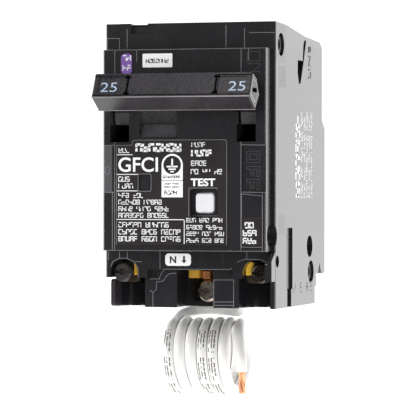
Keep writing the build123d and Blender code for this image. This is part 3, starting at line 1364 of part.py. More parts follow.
def main():
    """Build every piece and write it to the parts folder."""
    os.makedirs("parts", exist_ok=True)
    pole_pieces = {
        "pole_shell": pole_shell,
        "pole_plate": pole_plate,
        "handle": handle,
        "pivot_pins": pivot_pins,
        "contact_arm": contact_arm,
        "line_jaw": line_jaw,
        "jaw_clip": jaw_clip,
        "arc_chute": arc_chute,
        "cradle": cradle,
        "armature": armature,
        "bimetal": bimetal,
        "yoke": yoke,
        "braid": braid,
        "toggle_spring": toggle_spring,
        "wire_lug": wire_lug,
        "load_strap": load_strap,
        "lug_screw": lug_screw,
    }
    for piece, build in pole_pieces.items():
        for name in SIDES:
            save(build(name), f"{piece}_{name}")
    single_pieces = {
        "module_base": module_base,
        "front_cover": front_cover,
        "case_rivets": case_rivets,
        "handle_tie": handle_tie,
        "neutral_bar": neutral_bar,
        "neutral_clamp": neutral_clamp,
        "neutral_screw": neutral_screw,
        "test_button": test_button,
        "button_spring": button_spring,
        "indicator_lens": indicator_lens,
        "circuit_board": circuit_board,
        "board_parts": board_parts,
        "sensing_coil": sensing_coil,
        "solenoid": solenoid,
        "plunger": plunger,
        "trip_bar": trip_bar,
        "nameplate": nameplate,
        "side_print": side_print,
        "lead_run": lead_run,
        "lead_coil": lead_coil,
    }
    for name, build in single_pieces.items():
        save(build(), name)
    for name, (centre, size, z, corner) in FLAT_LABELS.items():
        save(label(centre, size, z, corner), name)
    save(lead_end(COIL_AXIS_Y, COIL_AXIS_Y - TAIL_END_Y, LEAD_RADIUS), "lead_tail")
    save(lead_end(TAIL_END_Y, BARE_LENGTH, BARE_RADIUS), "lead_bare_end")


main()
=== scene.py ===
"""Looks of the two-pole breaker with a ground-fault module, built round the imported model."""

import logging
from dataclasses import dataclass, field
from enum import Enum
from math import cos, pi, sin

import bmesh
import bpy
import numpy as np
from mathutils import Matrix, Vector
from mathutils.bvhtree import BVHTree


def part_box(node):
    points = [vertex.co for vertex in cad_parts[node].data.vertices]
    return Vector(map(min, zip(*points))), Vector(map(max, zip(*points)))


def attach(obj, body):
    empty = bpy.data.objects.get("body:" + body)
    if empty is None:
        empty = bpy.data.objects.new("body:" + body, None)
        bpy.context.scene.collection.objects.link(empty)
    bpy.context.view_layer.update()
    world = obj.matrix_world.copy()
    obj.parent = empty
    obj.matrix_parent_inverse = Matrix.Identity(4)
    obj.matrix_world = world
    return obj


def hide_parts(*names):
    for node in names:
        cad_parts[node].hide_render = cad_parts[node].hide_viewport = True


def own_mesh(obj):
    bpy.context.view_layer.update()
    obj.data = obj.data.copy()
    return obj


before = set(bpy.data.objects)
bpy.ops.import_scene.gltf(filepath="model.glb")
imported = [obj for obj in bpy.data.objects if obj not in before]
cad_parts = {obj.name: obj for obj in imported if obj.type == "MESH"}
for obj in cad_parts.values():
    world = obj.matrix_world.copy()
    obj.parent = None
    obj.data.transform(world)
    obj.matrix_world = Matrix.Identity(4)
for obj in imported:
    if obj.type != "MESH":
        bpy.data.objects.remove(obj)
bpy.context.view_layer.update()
LOG = logging.getLogger("breaker")
MM = 0.001
SIDES = ("left", "right")
SIGN = {"left": -1.0, "right": 1.0}
LOAD_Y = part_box("module_base")[0].y
SHOULDER_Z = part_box("module_base")[1].z
FRONT_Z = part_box("front_cover")[1].z
PRINT_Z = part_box("nameplate")[1].z
SIDE_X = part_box("pole_shell_right")[1].x
Array = np.ndarray


class Face(Enum):
    """Faces of the case that carry print or moulded lines."""

    FRONT = "front"
    SHOULDER = "shoulder"
    PLATE = "plate"
    RIGHT = "right"


def on_face(face: Face, across: Array, along: Array, lift: Array) -> Array:
    """Points on a face of the case.

    Args:
        face: The face to place the points on.
        across: Millimetres to the right on the front, or up from the back on the right side.
        along: Millimetres from the load end.
        lift: Millimetres out of the face.

    Returns:
        An array of points in metres, one row each.
    """
    y = LOAD_Y + along * MM
    if face is Face.RIGHT:
        return np.stack([SIDE_X + lift * MM, y, across * MM], axis=-1)
    height = {Face.FRONT: FRONT_Z, Face.SHOULDER: SHOULDER_Z, Face.PLATE: PRINT_Z}[face]
    return np.stack([across * MM, y, height + lift * MM], axis=-1)


# ---- meshes ----------------------------------------------------------------------------------


def mesh_piece(name: str, points: Array, faces: Array, smooth: bool = False) -> bpy.types.Object:
    """A new object from arrays of points and faces.

    Args:
        name: The piece's name.
        points: Points in metres, one row each.
        faces: Corner indices, one row a face.
        smooth: Whether the faces are shaded smooth.

    Returns:
        The object, at the origin.
    """
    mesh = bpy.data.meshes.new(name)
    mesh.from_pydata(points.reshape(-1, 3).tolist(), [], faces.tolist())
    mesh.polygons.foreach_set("use_smooth", np.full(len(mesh.polygons), smooth))
    mesh.update()
    piece = bpy.data.objects.new(name, mesh)
    bpy.context.scene.collection.objects.link(piece)
    return piece


def finish_piece(piece: bpy.types.Object, body: str, material: bpy.types.Material) -> None:
    """Give a piece its material and the body it rides on, and report it."""
    piece.data.materials.clear()
    piece.data.materials.append(material)
    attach(piece, body)
    LOG.info("piece %s on %s", piece.name, body)


def slab_points(face: Face, centres: Array, halves: Array, depth: float) -> tuple[Array, Array]:
    """Many thin slabs on one face, each a box whose corners are its centre plus or minus its halves.

    Args:
        face: The face that carries the slabs.
        centres: Middle of each slab, across and along, in millimetres.
        halves: Half sizes of each slab, across and along, in millimetres.
        depth: How far the slabs stand out of the face, in millimetres.

    Returns:
        The points and the faces of all slabs.
    """
    corner = np.array([[-1, -1], [1, -1], [1, 1], [-1, 1]], float)
    flat = centres[:, None, :] + corner[None, :, :] * halves[:, None, :]
    both = np.repeat(flat[:, None, :, :], 2, axis=1)
    lift = np.zeros(both.shape[:-1])
    lift[:, 1, :] = depth
    points = on_face(face, both[..., 0], both[..., 1], lift).reshape(-1, 3)
    top = [4, 5, 6, 7]
    walls = [[0, 1, 5, 4], [1, 2, 6, 5], [2, 3, 7, 6], [3, 0, 4, 7]]
    pattern = np.array([top, *walls])
    if face is Face.RIGHT:
        pattern = pattern[:, ::-1]
    faces = (pattern[None] + 8 * np.arange(len(centres))[:, None, None]).reshape(-1, 4)
    return points, faces


def rules(face: Face, lines: Array, width: float, depth: float) -> tuple[Array, Array]:
    """Straight rules on a face, each a slab between two places that share a row or a column.

    Args:
        face: The face that carries the rules.
        lines: Rows of start across, start along, end across, end along, in millimetres.
        width: Width of a rule in millimetres.
        depth: Height of a rule in millimetres.

    Returns:
        The points and the faces of all rules.
    """
    start, end = lines[:, :2], lines[:, 2:]
    halves = np.abs(end - start) / 2 + width / 2
    return slab_points(face, (start + end) / 2, halves, depth)


@dataclass(frozen=True)
class Row:
    """One row of small unreadable print.

    Attributes:
        start: Where the row starts, across and along, in millimetres.
        end: Where it ends, across, in millimetres.
        height: Height of its marks in millimetres.
        words: How many words it is broken into.
    """

    start: tuple[float, float]
    end: float
    height: float
    words: int = 2


def row_strokes(row: Row, seed: int, weight: float = 0.15) -> tuple[Array, Array]:
    """Strokes that read as small print from afar: each mark takes a few of seven bars of a grid.

    The bars of a mark are three across and four upright, on a cell whose width is 0.62 of its height,
    and a seeded choice switches each bar on or off, with no letter drawn.

    Args:
        row: The row to fill.
        seed: Seed of the choice of bars.
        weight: Thickness of a bar as a share of the height.

    Returns:
        Centres and half sizes of the bars, in millimetres.
    """
    rng = np.random.default_rng(seed)
    cell = 0.78 * row.height
    count = max(2, int((row.end - row.start[0]) / cell))
    index = np.arange(count)
    gap = np.isin(index, np.linspace(0, count, row.words + 1)[1:-1].astype(int))
    low = row.start[0] + index * cell + 0.08 * row.height
    wide, tall, half = 0.56 * row.height, row.height, weight * row.height / 2
    bar_x = np.array([0.5, 0.5, 0.5, 0.0, 0.0, 1.0, 1.0]) * wide
    bar_y = np.array([0.0, 0.5, 1.0, 0.25, 0.75, 0.25, 0.75]) * (tall - 2 * half) + half
    half_x = np.array([wide / 2] * 3 + [half] * 4)
    half_y = np.array([half] * 3 + [tall / 4] * 4)
    lit = rng.random((count, 7)) < np.array([0.55, 0.6, 0.6, 0.75, 0.75, 0.5, 0.5])
    lit[:, 3] |= ~lit.any(axis=1)
    lit[gap] = False
    mark, bar = np.nonzero(lit)
    centres = np.stack([low[mark] + bar_x[bar], row.start[1] + bar_y[bar]], axis=-1)
    return centres, np.stack([half_x[bar], half_y[bar]], axis=-1)


def small_print(name: str, face: Face, rows: list[Row], depth: float, seed: int) -> bpy.types.Object:
    """A piece with rows of unreadable small print.

    Args:
        name: The piece's name.
        face: The face it lies on. On the right side its rows run up the length.
        rows: The rows to fill.
        depth: Height of the ink in millimetres.
        seed: Seed of the first row.

    Returns:
        The new piece.
    """
    parts = [row_strokes(row, seed + number) for number, row in enumerate(rows)]
    centres = np.concatenate([part[0] for part in parts])
    halves = np.concatenate([part[1] for part in parts])
    if face is Face.RIGHT:
        return mesh_piece(name, *slab_points(face, centres[:, ::-1], halves[:, ::-1], depth))
    return mesh_piece(name, *slab_points(face, centres, halves, depth))


def lettering(name: str, body: str, low: Vector, right: Vector, up: Vector, size: tuple[float, float],
              bold: float = 0.0, depth: float = 0.04) -> bpy.types.Object:
    """Printed or moulded letters that fill a box on a plane.

    The text's outline is scaled to the box, its flat axes follow right and up, and it stands depth out.

    Args:
        name: The piece's name.
        body: The letters themselves.
        low: Bottom left corner of the box, in metres.
        right: Unit direction that the letters run in.
        up: Unit direction of the letters' height.
        size: Width and height of the box in millimetres.
        bold: How far the outline is thickened, in the font's units.
        depth: Thickness of the letters in millimetres.

    Returns:
        The new piece.
    """
    text = bpy.data.curves.new(name + "_outline", "FONT")
    text.body = body
    text.offset = bold
    text.extrude = 0.5
    text.resolution_u = 6
    holder = bpy.data.objects.new(name + "_outline", text)
    bpy.context.scene.collection.objects.link(holder)
    bpy.context.view_layer.update()
    mesh = bpy.data.meshes.new_from_object(holder.evaluated_get(bpy.context.evaluated_depsgraph_get()))
    bpy.data.objects.remove(holder)
    flat = np.empty(len(mesh.vertices) * 3)
    mesh.vertices.foreach_get("co", flat)
    flat = flat.reshape(-1, 3)
    flat = (flat - flat.min(axis=0)) / np.ptp(flat, axis=0)
    out = np.array(right.cross(up))
    points = (np.array(low) + flat[:, :1] * size[0] * MM * np.array(right)
              + flat[:, 1:2] * size[1] * MM * np.array(up) + flat[:, 2:] * depth * MM * out)
    mesh.vertices.foreach_set("co", points.ravel())
    mesh.update()
    mesh.name = name
    piece = bpy.data.objects.new(name, mesh)
    bpy.context.scene.collection.objects.link(piece)
    return piece


def front_letters(name: str, body: str, corner: tuple[float, float], size: tuple[float, float],
                  face: Face = Face.PLATE, bold: float = 0.0, depth: float = 0.04) -> bpy.types.Object:
    """Letters that stand upright on the front, from a corner and a size in millimetres."""
    low = Vector(on_face(face, np.array(corner[0]), np.array(corner[1]), np.array(0.0)))
    return lettering(name, body, low, Vector((1, 0, 0)), Vector((0, 1, 0)), size, bold, depth)


# ---- finishes --------------------------------------------------------------------------------


def make_group(name: str, inputs: dict[str, float], outputs: dict[str, str]) -> bpy.types.ShaderNodeTree:
    """An empty shader node group with named number inputs and outputs.

    Args:
        name: The group's name.
        inputs: Name and default of each number input, besides the Vector input that comes first.
        outputs: Name and socket type of each output.

    Returns:
        The node tree with its two ends in place.
    """
    tree = bpy.data.node_groups.new(name, "ShaderNodeTree")
    tree.interface.new_socket("Vector", in_out="INPUT", socket_type="NodeSocketVector")
    for label, default in inputs.items():
        socket = tree.interface.new_socket(label, in_out="INPUT", socket_type="NodeSocketFloat")
        socket.default_value = default
    for label, kind in outputs.items():
        tree.interface.new_socket(label, in_out="OUTPUT", socket_type=kind)
    tree.nodes.new("NodeGroupInput").name = "in"
    tree.nodes.new("NodeGroupOutput").name = "out"
    return tree


def grain_group() -> bpy.types.ShaderNodeTree:
    """Moulded or printed surface: cloudy variation, fine grain and faint scuffs.

    Clouds are slow noise, Grain is fast noise, Scuff is noise stretched along one axis and cut to its
    peaks, and Height adds grain and scuffs.

    Returns:
        The node group.
    """
    tree = make_group(
        "moulded_grain",
        {"Cloud Scale": 90.0, "Grain Scale": 2400.0, "Scuff": 0.3},
        {"Clouds": "NodeSocketFloat", "Grain": "NodeSocketFloat", "Scuffs": "NodeSocketFloat",
         "Height": "NodeSocketFloat"},
    )
    nodes, links = tree.nodes, tree.links
    source, sink = nodes["in"], nodes["out"]
    clouds = nodes.new("ShaderNodeTexNoise")
    clouds.inputs["Detail"].default_value = 3.0
    grain = nodes.new("ShaderNodeTexNoise")
    grain.inputs["Detail"].default_value = 2.0
    stretch = nodes.new("ShaderNodeMapping")
    stretch.inputs["Scale"].default_value = (900.0, 90.0, 300.0)
    scuff = nodes.new("ShaderNodeTexNoise")
    scuff.inputs["Scale"].default_value = 1.0
    scuff.inputs["Detail"].default_value = 4.0
    peaks = nodes.new("ShaderNodeMapRange")
    peaks.inputs["From Min"].default_value = 0.62
    peaks.inputs["From Max"].default_value = 0.78
    share = nodes.new("ShaderNodeMath")
    share.operation = "MULTIPLY"
    height = nodes.new("ShaderNodeMath")
    height.operation = "SUBTRACT"
    for noise, socket in ((clouds, "Cloud Scale"), (grain, "Grain Scale")):
        links.new(source.outputs["Vector"], noise.inputs["Vector"])
        links.new(source.outputs[socket], noise.inputs["Scale"])
    links.new(source.outputs["Vector"], stretch.inputs["Vector"])
    links.new(stretch.outputs["Vector"], scuff.inputs["Vector"])
    links.new(scuff.outputs["Fac"], peaks.inputs["Value"])
    links.new(peaks.outputs["Result"], share.inputs[0])
    links.new(source.outputs["Scuff"], share.inputs[1])
    links.new(grain.outputs["Fac"], height.inputs[0])
    links.new(share.outputs["Value"], height.inputs[1])
    links.new(clouds.outputs["Fac"], sink.inputs["Clouds"])
    links.new(grain.outputs["Fac"], sink.inputs["Grain"])
    links.new(share.outputs["Value"], sink.inputs["Scuffs"])
    links.new(height.outputs["Value"], sink.inputs["Height"])
    return tree


def box_group() -> bpy.types.ShaderNodeTree:
    """One inside a box and none outside: the largest of the distances from its middle over its halves.

    Returns:
        The node group.
    """
    tree = bpy.data.node_groups.new("inside_box", "ShaderNodeTree")
    for label in ("Vector", "Middle", "Half"):
        tree.interface.new_socket(label, in_out="INPUT", socket_type="NodeSocketVector")
    tree.interface.new_socket("Inside", in_out="OUTPUT", socket_type="NodeSocketFloat")
    nodes, links = tree.nodes, tree.links
    source, sink = nodes.new("NodeGroupInput"), nodes.new("NodeGroupOutput")
    steps = [nodes.new("ShaderNodeVectorMath") for _ in range(3)]
    for step, operation in zip(steps, ("SUBTRACT", "ABSOLUTE", "DIVIDE")):
        step.operation = operation
    parts = nodes.new("ShaderNodeSeparateXYZ")
    larger, largest, inside = (nodes.new("ShaderNodeMath") for _ in range(3))
    larger.operation = largest.operation = "MAXIMUM"
    inside.operation = "LESS_THAN"
    inside.inputs[1].default_value = 1.0
    links.new(source.outputs["Vector"], steps[0].inputs[0])
    links.new(source.outputs["Middle"], steps[0].inputs[1])
    links.new(steps[0].outputs[0], steps[1].inputs[0])
    links.new(steps[1].outputs[0], steps[2].inputs[0])
    links.new(source.outputs["Half"], steps[2].inputs[1])
    links.new(steps[2].outputs[0], parts.inputs[0])
    links.new(parts.outputs["X"], larger.inputs[0])
    links.new(parts.outputs["Y"], larger.inputs[1])
    links.new(larger.outputs[0], largest.inputs[0])
    links.new(parts.outputs["Z"], largest.inputs[1])
    links.new(largest.outputs[0], inside.inputs[0])
    links.new(inside.outputs[0], sink.inputs["Inside"])
    return tree


GRAIN = grain_group()
BOX = box_group()


@dataclass(frozen=True)
class Patch:
    """A box of the surface with a colour and gloss of its own: painted shade, a painted highlight or a finish
    of its own.

    Attributes:
        across: Its range across, in millimetres.
        along: Its range from the load end, in millimetres.
        up: Its range up from the back, in millimetres.
        colour: Its colour.
        gloss: Strength of its reflections, as a share of the finish's own.
    """

    across: tuple[float, float]
    along: tuple[float, float]
    up: tuple[float, float]
    colour: tuple[float, float, float]
    gloss: float = 1.0


@dataclass(frozen=True)
class Finish:
    """A surface finish made of one Principled shader fed by the grain group.

    Attributes:
        name: Name of the material.
        deep: Colour where the clouds are thin.
        pale: Colour where the clouds are thick.
        scuffed: Colour of the scuffs.
        rough: Roughness of smooth and of grainy places.
        metal: Metallic value.
        bump: Height of the grain in millimetres.
        cloud_scale: Size of the clouds, as waves in a metre.
        grain_scale: Size of the grain, as waves in a metre.
        scuff: How strongly the scuffs show.
        coat: Weight of a clear coat.
        ior: Index of refraction.
        patches: Places with a colour of their own, several of them painted shade or painted highlights.
    """

    name: str
    deep: tuple[float, float, float]
    pale: tuple[float, float, float]
    scuffed: tuple[float, float, float]
    rough: tuple[float, float] = (0.3, 0.45)
    metal: float = 0.0
    bump: float = 0.004
    cloud_scale: float = 90.0
    grain_scale: float = 2400.0
    scuff: float = 0.2
    coat: float = 0.0
    ior: float = 1.5
    patches: tuple[Patch, ...] = ()

    def build(self) -> bpy.types.Material:
        """The finish as a material with its nodes.

        Returns:
            The material.
        """
        material = bpy.data.materials.new(self.name)
        material.use_nodes = True
        nodes, links = material.node_tree.nodes, material.node_tree.links
        shader = nodes["Principled BSDF"]
        shader.inputs["Metallic"].default_value = self.metal
        shader.inputs["IOR"].default_value = self.ior
        shader.inputs["Coat Weight"].default_value = self.coat
        place = nodes.new("ShaderNodeTexCoord")
        grain = nodes.new("ShaderNodeGroup")
        grain.node_tree = GRAIN
        grain.inputs["Cloud Scale"].default_value = self.cloud_scale
        grain.inputs["Grain Scale"].default_value = self.grain_scale
        grain.inputs["Scuff"].default_value = self.scuff
        tint = nodes.new("ShaderNodeValToRGB")
        tint.color_ramp.elements[0].position = 0.35
        tint.color_ramp.elements[1].position = 0.65
        tint.color_ramp.elements[0].color = (*self.deep, 1)
        tint.color_ramp.elements[1].color = (*self.pale, 1)
        worn = nodes.new("ShaderNodeMix")
        worn.data_type = "RGBA"
        worn.inputs["B"].default_value = (*self.scuffed, 1)
        gloss = nodes.new("ShaderNodeMapRange")
        gloss.inputs["From Min"].default_value = 0.3
        gloss.inputs["From Max"].default_value = 0.7
        gloss.inputs["To Min"].default_value = self.rough[0]
        gloss.inputs["To Max"].default_value = self.rough[1]
        bump = nodes.new("ShaderNodeBump")
        bump.inputs["Distance"].default_value = self.bump * MM
        links.new(place.outputs["Object"], grain.inputs["Vector"])
        links.new(grain.outputs["Clouds"], tint.inputs["Fac"])
        links.new(tint.outputs["Color"], worn.inputs["A"])
        links.new(grain.outputs["Scuffs"], worn.inputs["Factor"])
        links.new(grain.outputs["Grain"], gloss.inputs["Value"])
        links.new(grain.outputs["Height"], bump.inputs["Height"])
        colour = worn.outputs["Result"]
        shine = None
        for patch in self.patches:
            mask = nodes.new("ShaderNodeGroup")
            mask.node_tree = BOX
            shift = (0.0, LOAD_Y, 0.0)
            ranges = (patch.across, patch.along, patch.up)
            mask.inputs["Middle"].default_value = [sum(r) / 2 * MM + o for r, o in zip(ranges, shift)]
            mask.inputs["Half"].default_value = [(r[1] - r[0]) / 2 * MM for r in ranges]
            over = nodes.new("ShaderNodeMix")
            over.data_type = "RGBA"
            over.inputs["B"].default_value = (*patch.colour, 1)
            links.new(place.outputs["Object"], mask.inputs["Vector"])
            links.new(mask.outputs["Inside"], over.inputs["Factor"])
            links.new(colour, over.inputs["A"])
            colour = over.outputs["Result"]
            dulled = nodes.new("ShaderNodeMix")
            dulled.inputs["A"].default_value = PLAIN_SPECULAR
            dulled.inputs["B"].default_value = PLAIN_SPECULAR * patch.gloss
            links.new(mask.outputs["Inside"], dulled.inputs["Factor"])
            if shine is not None:
                links.new(shine, dulled.inputs["A"])
            shine = dulled.outputs["Result"]
        if shine is not None:
            links.new(shine, shader.inputs["Specular IOR Level"])
        links.new(colour, shader.inputs["Base Color"])
        links.new(gloss.outputs["Result"], shader.inputs["Roughness"])
        links.new(bump.outputs["Normal"], shader.inputs["Normal"])
        return material


PLAIN_SPECULAR = 0.5
CASE_DEEP = (0.010, 0.009, 0.0105)
CASE_PALE = (0.015, 0.0135, 0.0155)
CASE_SCUFF = (0.045, 0.043, 0.046)

FINISHES = {
    finish.name: finish
    for finish in (
        Finish("case_black", CASE_DEEP, CASE_PALE, CASE_SCUFF, (0.2, 0.3), bump=0.003, scuff=0.22, ior=1.57,
               patches=(
                   Patch((25.2, 25.6), (62.9, 69.0), (43.8, 51.5), CASE_DEEP, 0.62),
                   Patch((25.2, 25.6), (21.0, 26.8), (44.6, 51.4), CASE_DEEP, 0.72),
                   Patch((25.2, 25.6), (31.0, 58.2), (12.6, 34.2), CASE_DEEP, 0.95),
                   Patch((25.2, 25.6), (70.0, 82.0), (44.0, 60.0), CASE_DEEP, 0.8),
                   # painted shade: reflections dimmed to a sixth over the load-end pockets under the raised
                   # front
                   Patch((-24.9, 24.9), (0.3, 9.2), (43.0, 52.2), CASE_DEEP, 0.16),
                   Patch((-24.3, -21.4), (33.1, 46.3), (59.0, 61.0), (0.075, 0.072, 0.076)),
                   # painted highlight: the finger scoop's lower ramp is painted lighter grey, where it
                   # catches the light from above
                   Patch((-12.9, -2.3), (48.6, 52.4), (55.0, 60.4), (0.06, 0.058, 0.064)),
                   Patch((-12.9, -2.3), (52.4, 60.6), (55.0, 60.4), (0.012, 0.012, 0.013)),
               )),
        Finish("handle_black", (0.02, 0.018, 0.021), (0.028, 0.025, 0.029), (0.08, 0.075, 0.08), (0.22, 0.32),
               bump=0.004, scuff=0.35, ior=1.52,
               # painted highlight: the handle hub seen through the slot is painted lighter grey, where the
               # light falls on it
               patches=(Patch((-25.0, 25.0), (52.4, 55.7), (50.0, 60.0), (0.09, 0.087, 0.093)),
                        # painted shade: the tie's lower faces are painted darker, with dimmed reflections
                        Patch((-24.0, 24.0), (55.0, 59.45), (62.0, 73.4), (0.018, 0.016, 0.019), 0.6),
                        # painted shade: the tie's right end face is painted darker, its reflections dulled
                        Patch((22.95, 23.6), (50.0, 70.0), (60.0, 76.0), (0.03, 0.028, 0.03), 0.22))),
        # brass lug; painted shade: near black with dimmed reflections at the load end inside the arch
        Finish("lug_brass_painted_shade", (0.55, 0.3, 0.035), (0.68, 0.38, 0.05), (0.4, 0.22, 0.04), (0.3, 0.42), metal=0.5,
               bump=0.003,
               patches=(Patch((-26.0, 26.0), (0.6, 13.0), (40.0, 60.0), (0.02, 0.014, 0.005), 0.2),)),
        Finish("screw_shade", (0.012, 0.01, 0.009), (0.022, 0.018, 0.016), (0.008, 0.007, 0.006), (0.4, 0.5)),
        Finish("ink_faded", (0.09, 0.075, 0.065), (0.14, 0.12, 0.105), (0.25, 0.22, 0.2), (0.5, 0.6)),
        Finish("void_black", (0.002, 0.002, 0.002), (0.003, 0.003, 0.003), (0.004, 0.004, 0.004),
               (0.8, 0.9), ior=1.0),
        # copper neutral clamp; painted shade: near black on its left part and its lower part, deep in the
        # opening
        Finish("clamp_copper_painted_shade", (0.62, 0.25, 0.11), (0.72, 0.32, 0.16), (0.8, 0.45, 0.28), (0.3, 0.42),
               metal=0.6,
               patches=(Patch((-6.0, 1.3), (-2.0, 16.0), (20.0, 60.0), (0.012, 0.01, 0.009), 0.2),
                        Patch((1.2, 6.5), (-2.0, 4.4), (20.0, 60.0), (0.02, 0.014, 0.01), 0.3))),
        # painted shade: a darkened screw metal for the lug screws, which sit in the arches' shade
        Finish("screw_painted_shade", (0.03, 0.024, 0.02), (0.075, 0.06, 0.05), (0.015, 0.012, 0.01),
               (0.22, 0.42), metal=1.0,
               bump=0.012, cloud_scale=700.0, scuff=0.5),
        Finish("rivet_black", (0.02, 0.02, 0.02), (0.035, 0.034, 0.034), (0.05, 0.05, 0.05), (0.4, 0.5)),
        # painted shade and painted highlight: the load straps are dark brass for the arches' shade, with a
        # bright brass patch painted where light catches their inner edge
        Finish("strap_left", (0.02, 0.015, 0.006), (0.03, 0.022, 0.01), (0.03, 0.02, 0.01), (0.3, 0.45),
               bump=0.01,
               patches=(Patch((-17.7, -14.0), (9.2, 13.6), (49.0, 53.0), (1.0, 0.56, 0.05)),)),
        Finish("strap_right", (0.02, 0.015, 0.006), (0.03, 0.022, 0.01), (0.03, 0.02, 0.01), (0.25, 0.4),
               bump=0.01,
               patches=(Patch((14.0, 18.2), (9.4, 14.0), (49.0, 53.0), (1.0, 0.6, 0.06)),)),
        # painted highlight: light grey for the handle tie's edges where they catch the light
        Finish("tie_edge_highlight", (0.2, 0.17, 0.18), (0.3, 0.26, 0.28), (0.35, 0.3, 0.32), (0.35, 0.5)),
        # painted highlight: light grey rims where the tie's stepped end face catches the light
        Finish("rim_highlight_grey", (0.3, 0.28, 0.29), (0.42, 0.4, 0.41), (0.5, 0.5, 0.5), (0.35, 0.5)),
        # painted highlights: grey for light caught by moulded edges, seams and outlines of the black case;
        # the dim one for moulded letters
        Finish("edge_highlight_dim", (0.03, 0.029, 0.031), (0.05, 0.048, 0.052), (0.1, 0.1, 0.1), (0.35, 0.5)),
        Finish("edge_highlight_grey", (0.13, 0.125, 0.135), (0.2, 0.195, 0.205), (0.3, 0.3, 0.3), (0.35, 0.5)),
        Finish("plate_black", (0.014, 0.011, 0.012), (0.02, 0.016, 0.017), (0.05, 0.05, 0.05), (0.28, 0.36),
               bump=0.002, scuff=0.05),
        Finish("print_white", (0.8, 0.8, 0.81), (0.86, 0.86, 0.87), (0.6, 0.6, 0.6), (0.5, 0.6), bump=0.002),
        Finish("print_blue_white", (0.36, 0.45, 0.58), (0.42, 0.52, 0.66), (0.6, 0.6, 0.65), (0.5, 0.6)),
        Finish("label_white", (0.82, 0.82, 0.83), (0.88, 0.88, 0.88), (0.7, 0.7, 0.7), (0.35, 0.5)),
        Finish("label_purple", (0.17, 0.075, 0.32), (0.2, 0.09, 0.37), (0.3, 0.2, 0.45), (0.35, 0.45)),
        Finish("ink_black", (0.012, 0.012, 0.013), (0.02, 0.02, 0.02), (0.05, 0.05, 0.05), (0.5, 0.6)),
        Finish("button_white", (0.62, 0.61, 0.64), (0.68, 0.67, 0.7), (0.7, 0.7, 0.7), (0.25, 0.35), ior=1.5),
        Finish("lens_dark", (0.012, 0.012, 0.014), (0.03, 0.03, 0.034), (0.05, 0.05, 0.05), (0.12, 0.2)),
        Finish("brass_bright", (0.55, 0.3, 0.035), (0.68, 0.38, 0.05), (0.4, 0.22, 0.04), (0.3, 0.42),
               metal=0.5,
               bump=0.003, cloud_scale=500.0, scuff=0.4),
        Finish("copper_bare", (0.72, 0.3, 0.15), (0.82, 0.38, 0.2), (0.9, 0.55, 0.38), (0.3, 0.42),
               metal=0.75,
               bump=0.008, cloud_scale=600.0, scuff=0.5),
        Finish("zinc_screw", (0.18, 0.15, 0.13), (0.36, 0.31, 0.27), (0.2, 0.16, 0.12), (0.22, 0.42),
               metal=1.0,
               bump=0.012, cloud_scale=700.0, scuff=0.5),
        Finish("iron_soft", (0.3, 0.29, 0.28), (0.38, 0.37, 0.36), (0.2, 0.18, 0.16), (0.35, 0.5), metal=1.0),
        Finish("spring_wire", (0.5, 0.5, 0.5), (0.6, 0.6, 0.6), (0.4, 0.4, 0.4), (0.25, 0.4), metal=1.0),
        Finish("board_green", (0.02, 0.12, 0.045), (0.03, 0.16, 0.06), (0.1, 0.2, 0.1), (0.3, 0.4)),
        Finish("component_dark", (0.03, 0.03, 0.034), (0.05, 0.05, 0.055), (0.1, 0.1, 0.1), (0.4, 0.5)),
        Finish("core_blue", (0.05, 0.12, 0.2), (0.07, 0.16, 0.26), (0.1, 0.2, 0.3), (0.35, 0.5)),
        Finish("coil_enamel", (0.4, 0.14, 0.05), (0.55, 0.22, 0.08), (0.6, 0.3, 0.1), (0.25, 0.4), coat=0.4),
        Finish("wire_white", (0.83, 0.82, 0.8), (0.88, 0.87, 0.85), (0.75, 0.74, 0.72), (0.28, 0.36),
               bump=0.003, cloud_scale=60.0, scuff=0.08),
    )
}
BUILT: dict[str, bpy.types.Material] = {}


def material(name: str) -> bpy.types.Material:
    """The material of a finish, built when it is first asked for."""
    if name not in BUILT:
        BUILT[name] = FINISHES[name].build()
    return BUILT[name]


def dress(node: str, finish: str) -> None:
    """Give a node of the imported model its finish."""
    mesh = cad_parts[node].data
    mesh.materials.clear()
    mesh.materials.append(material(finish))
    LOG.info("node %s in %s", node, finish)


# ---- studio ----------------------------------------------------------------------------------


@dataclass(frozen=True)
class Softbox:
    """A square soft light that faces the object.

    Attributes:
        name: The light's name.
        place: Where it stands, in metres.
        size: Its side in metres.
        watts: Its power.
    """

    name: str
    place: tuple[float, float, float]
    size: float
    watts: float

    def build(self) -> None:
        """Stand the light in the scene, turned to the object."""
        lamp = bpy.data.lights.new(self.name, "AREA")
        lamp.size = self.size
        lamp.energy = self.watts
        holder = bpy.data.objects.new(self.name, lamp)
        holder.location = self.place
        holder.rotation_euler = (-Vector(self.place)).to_track_quat("-Z", "Y").to_euler()
        bpy.context.scene.collection.objects.link(holder)


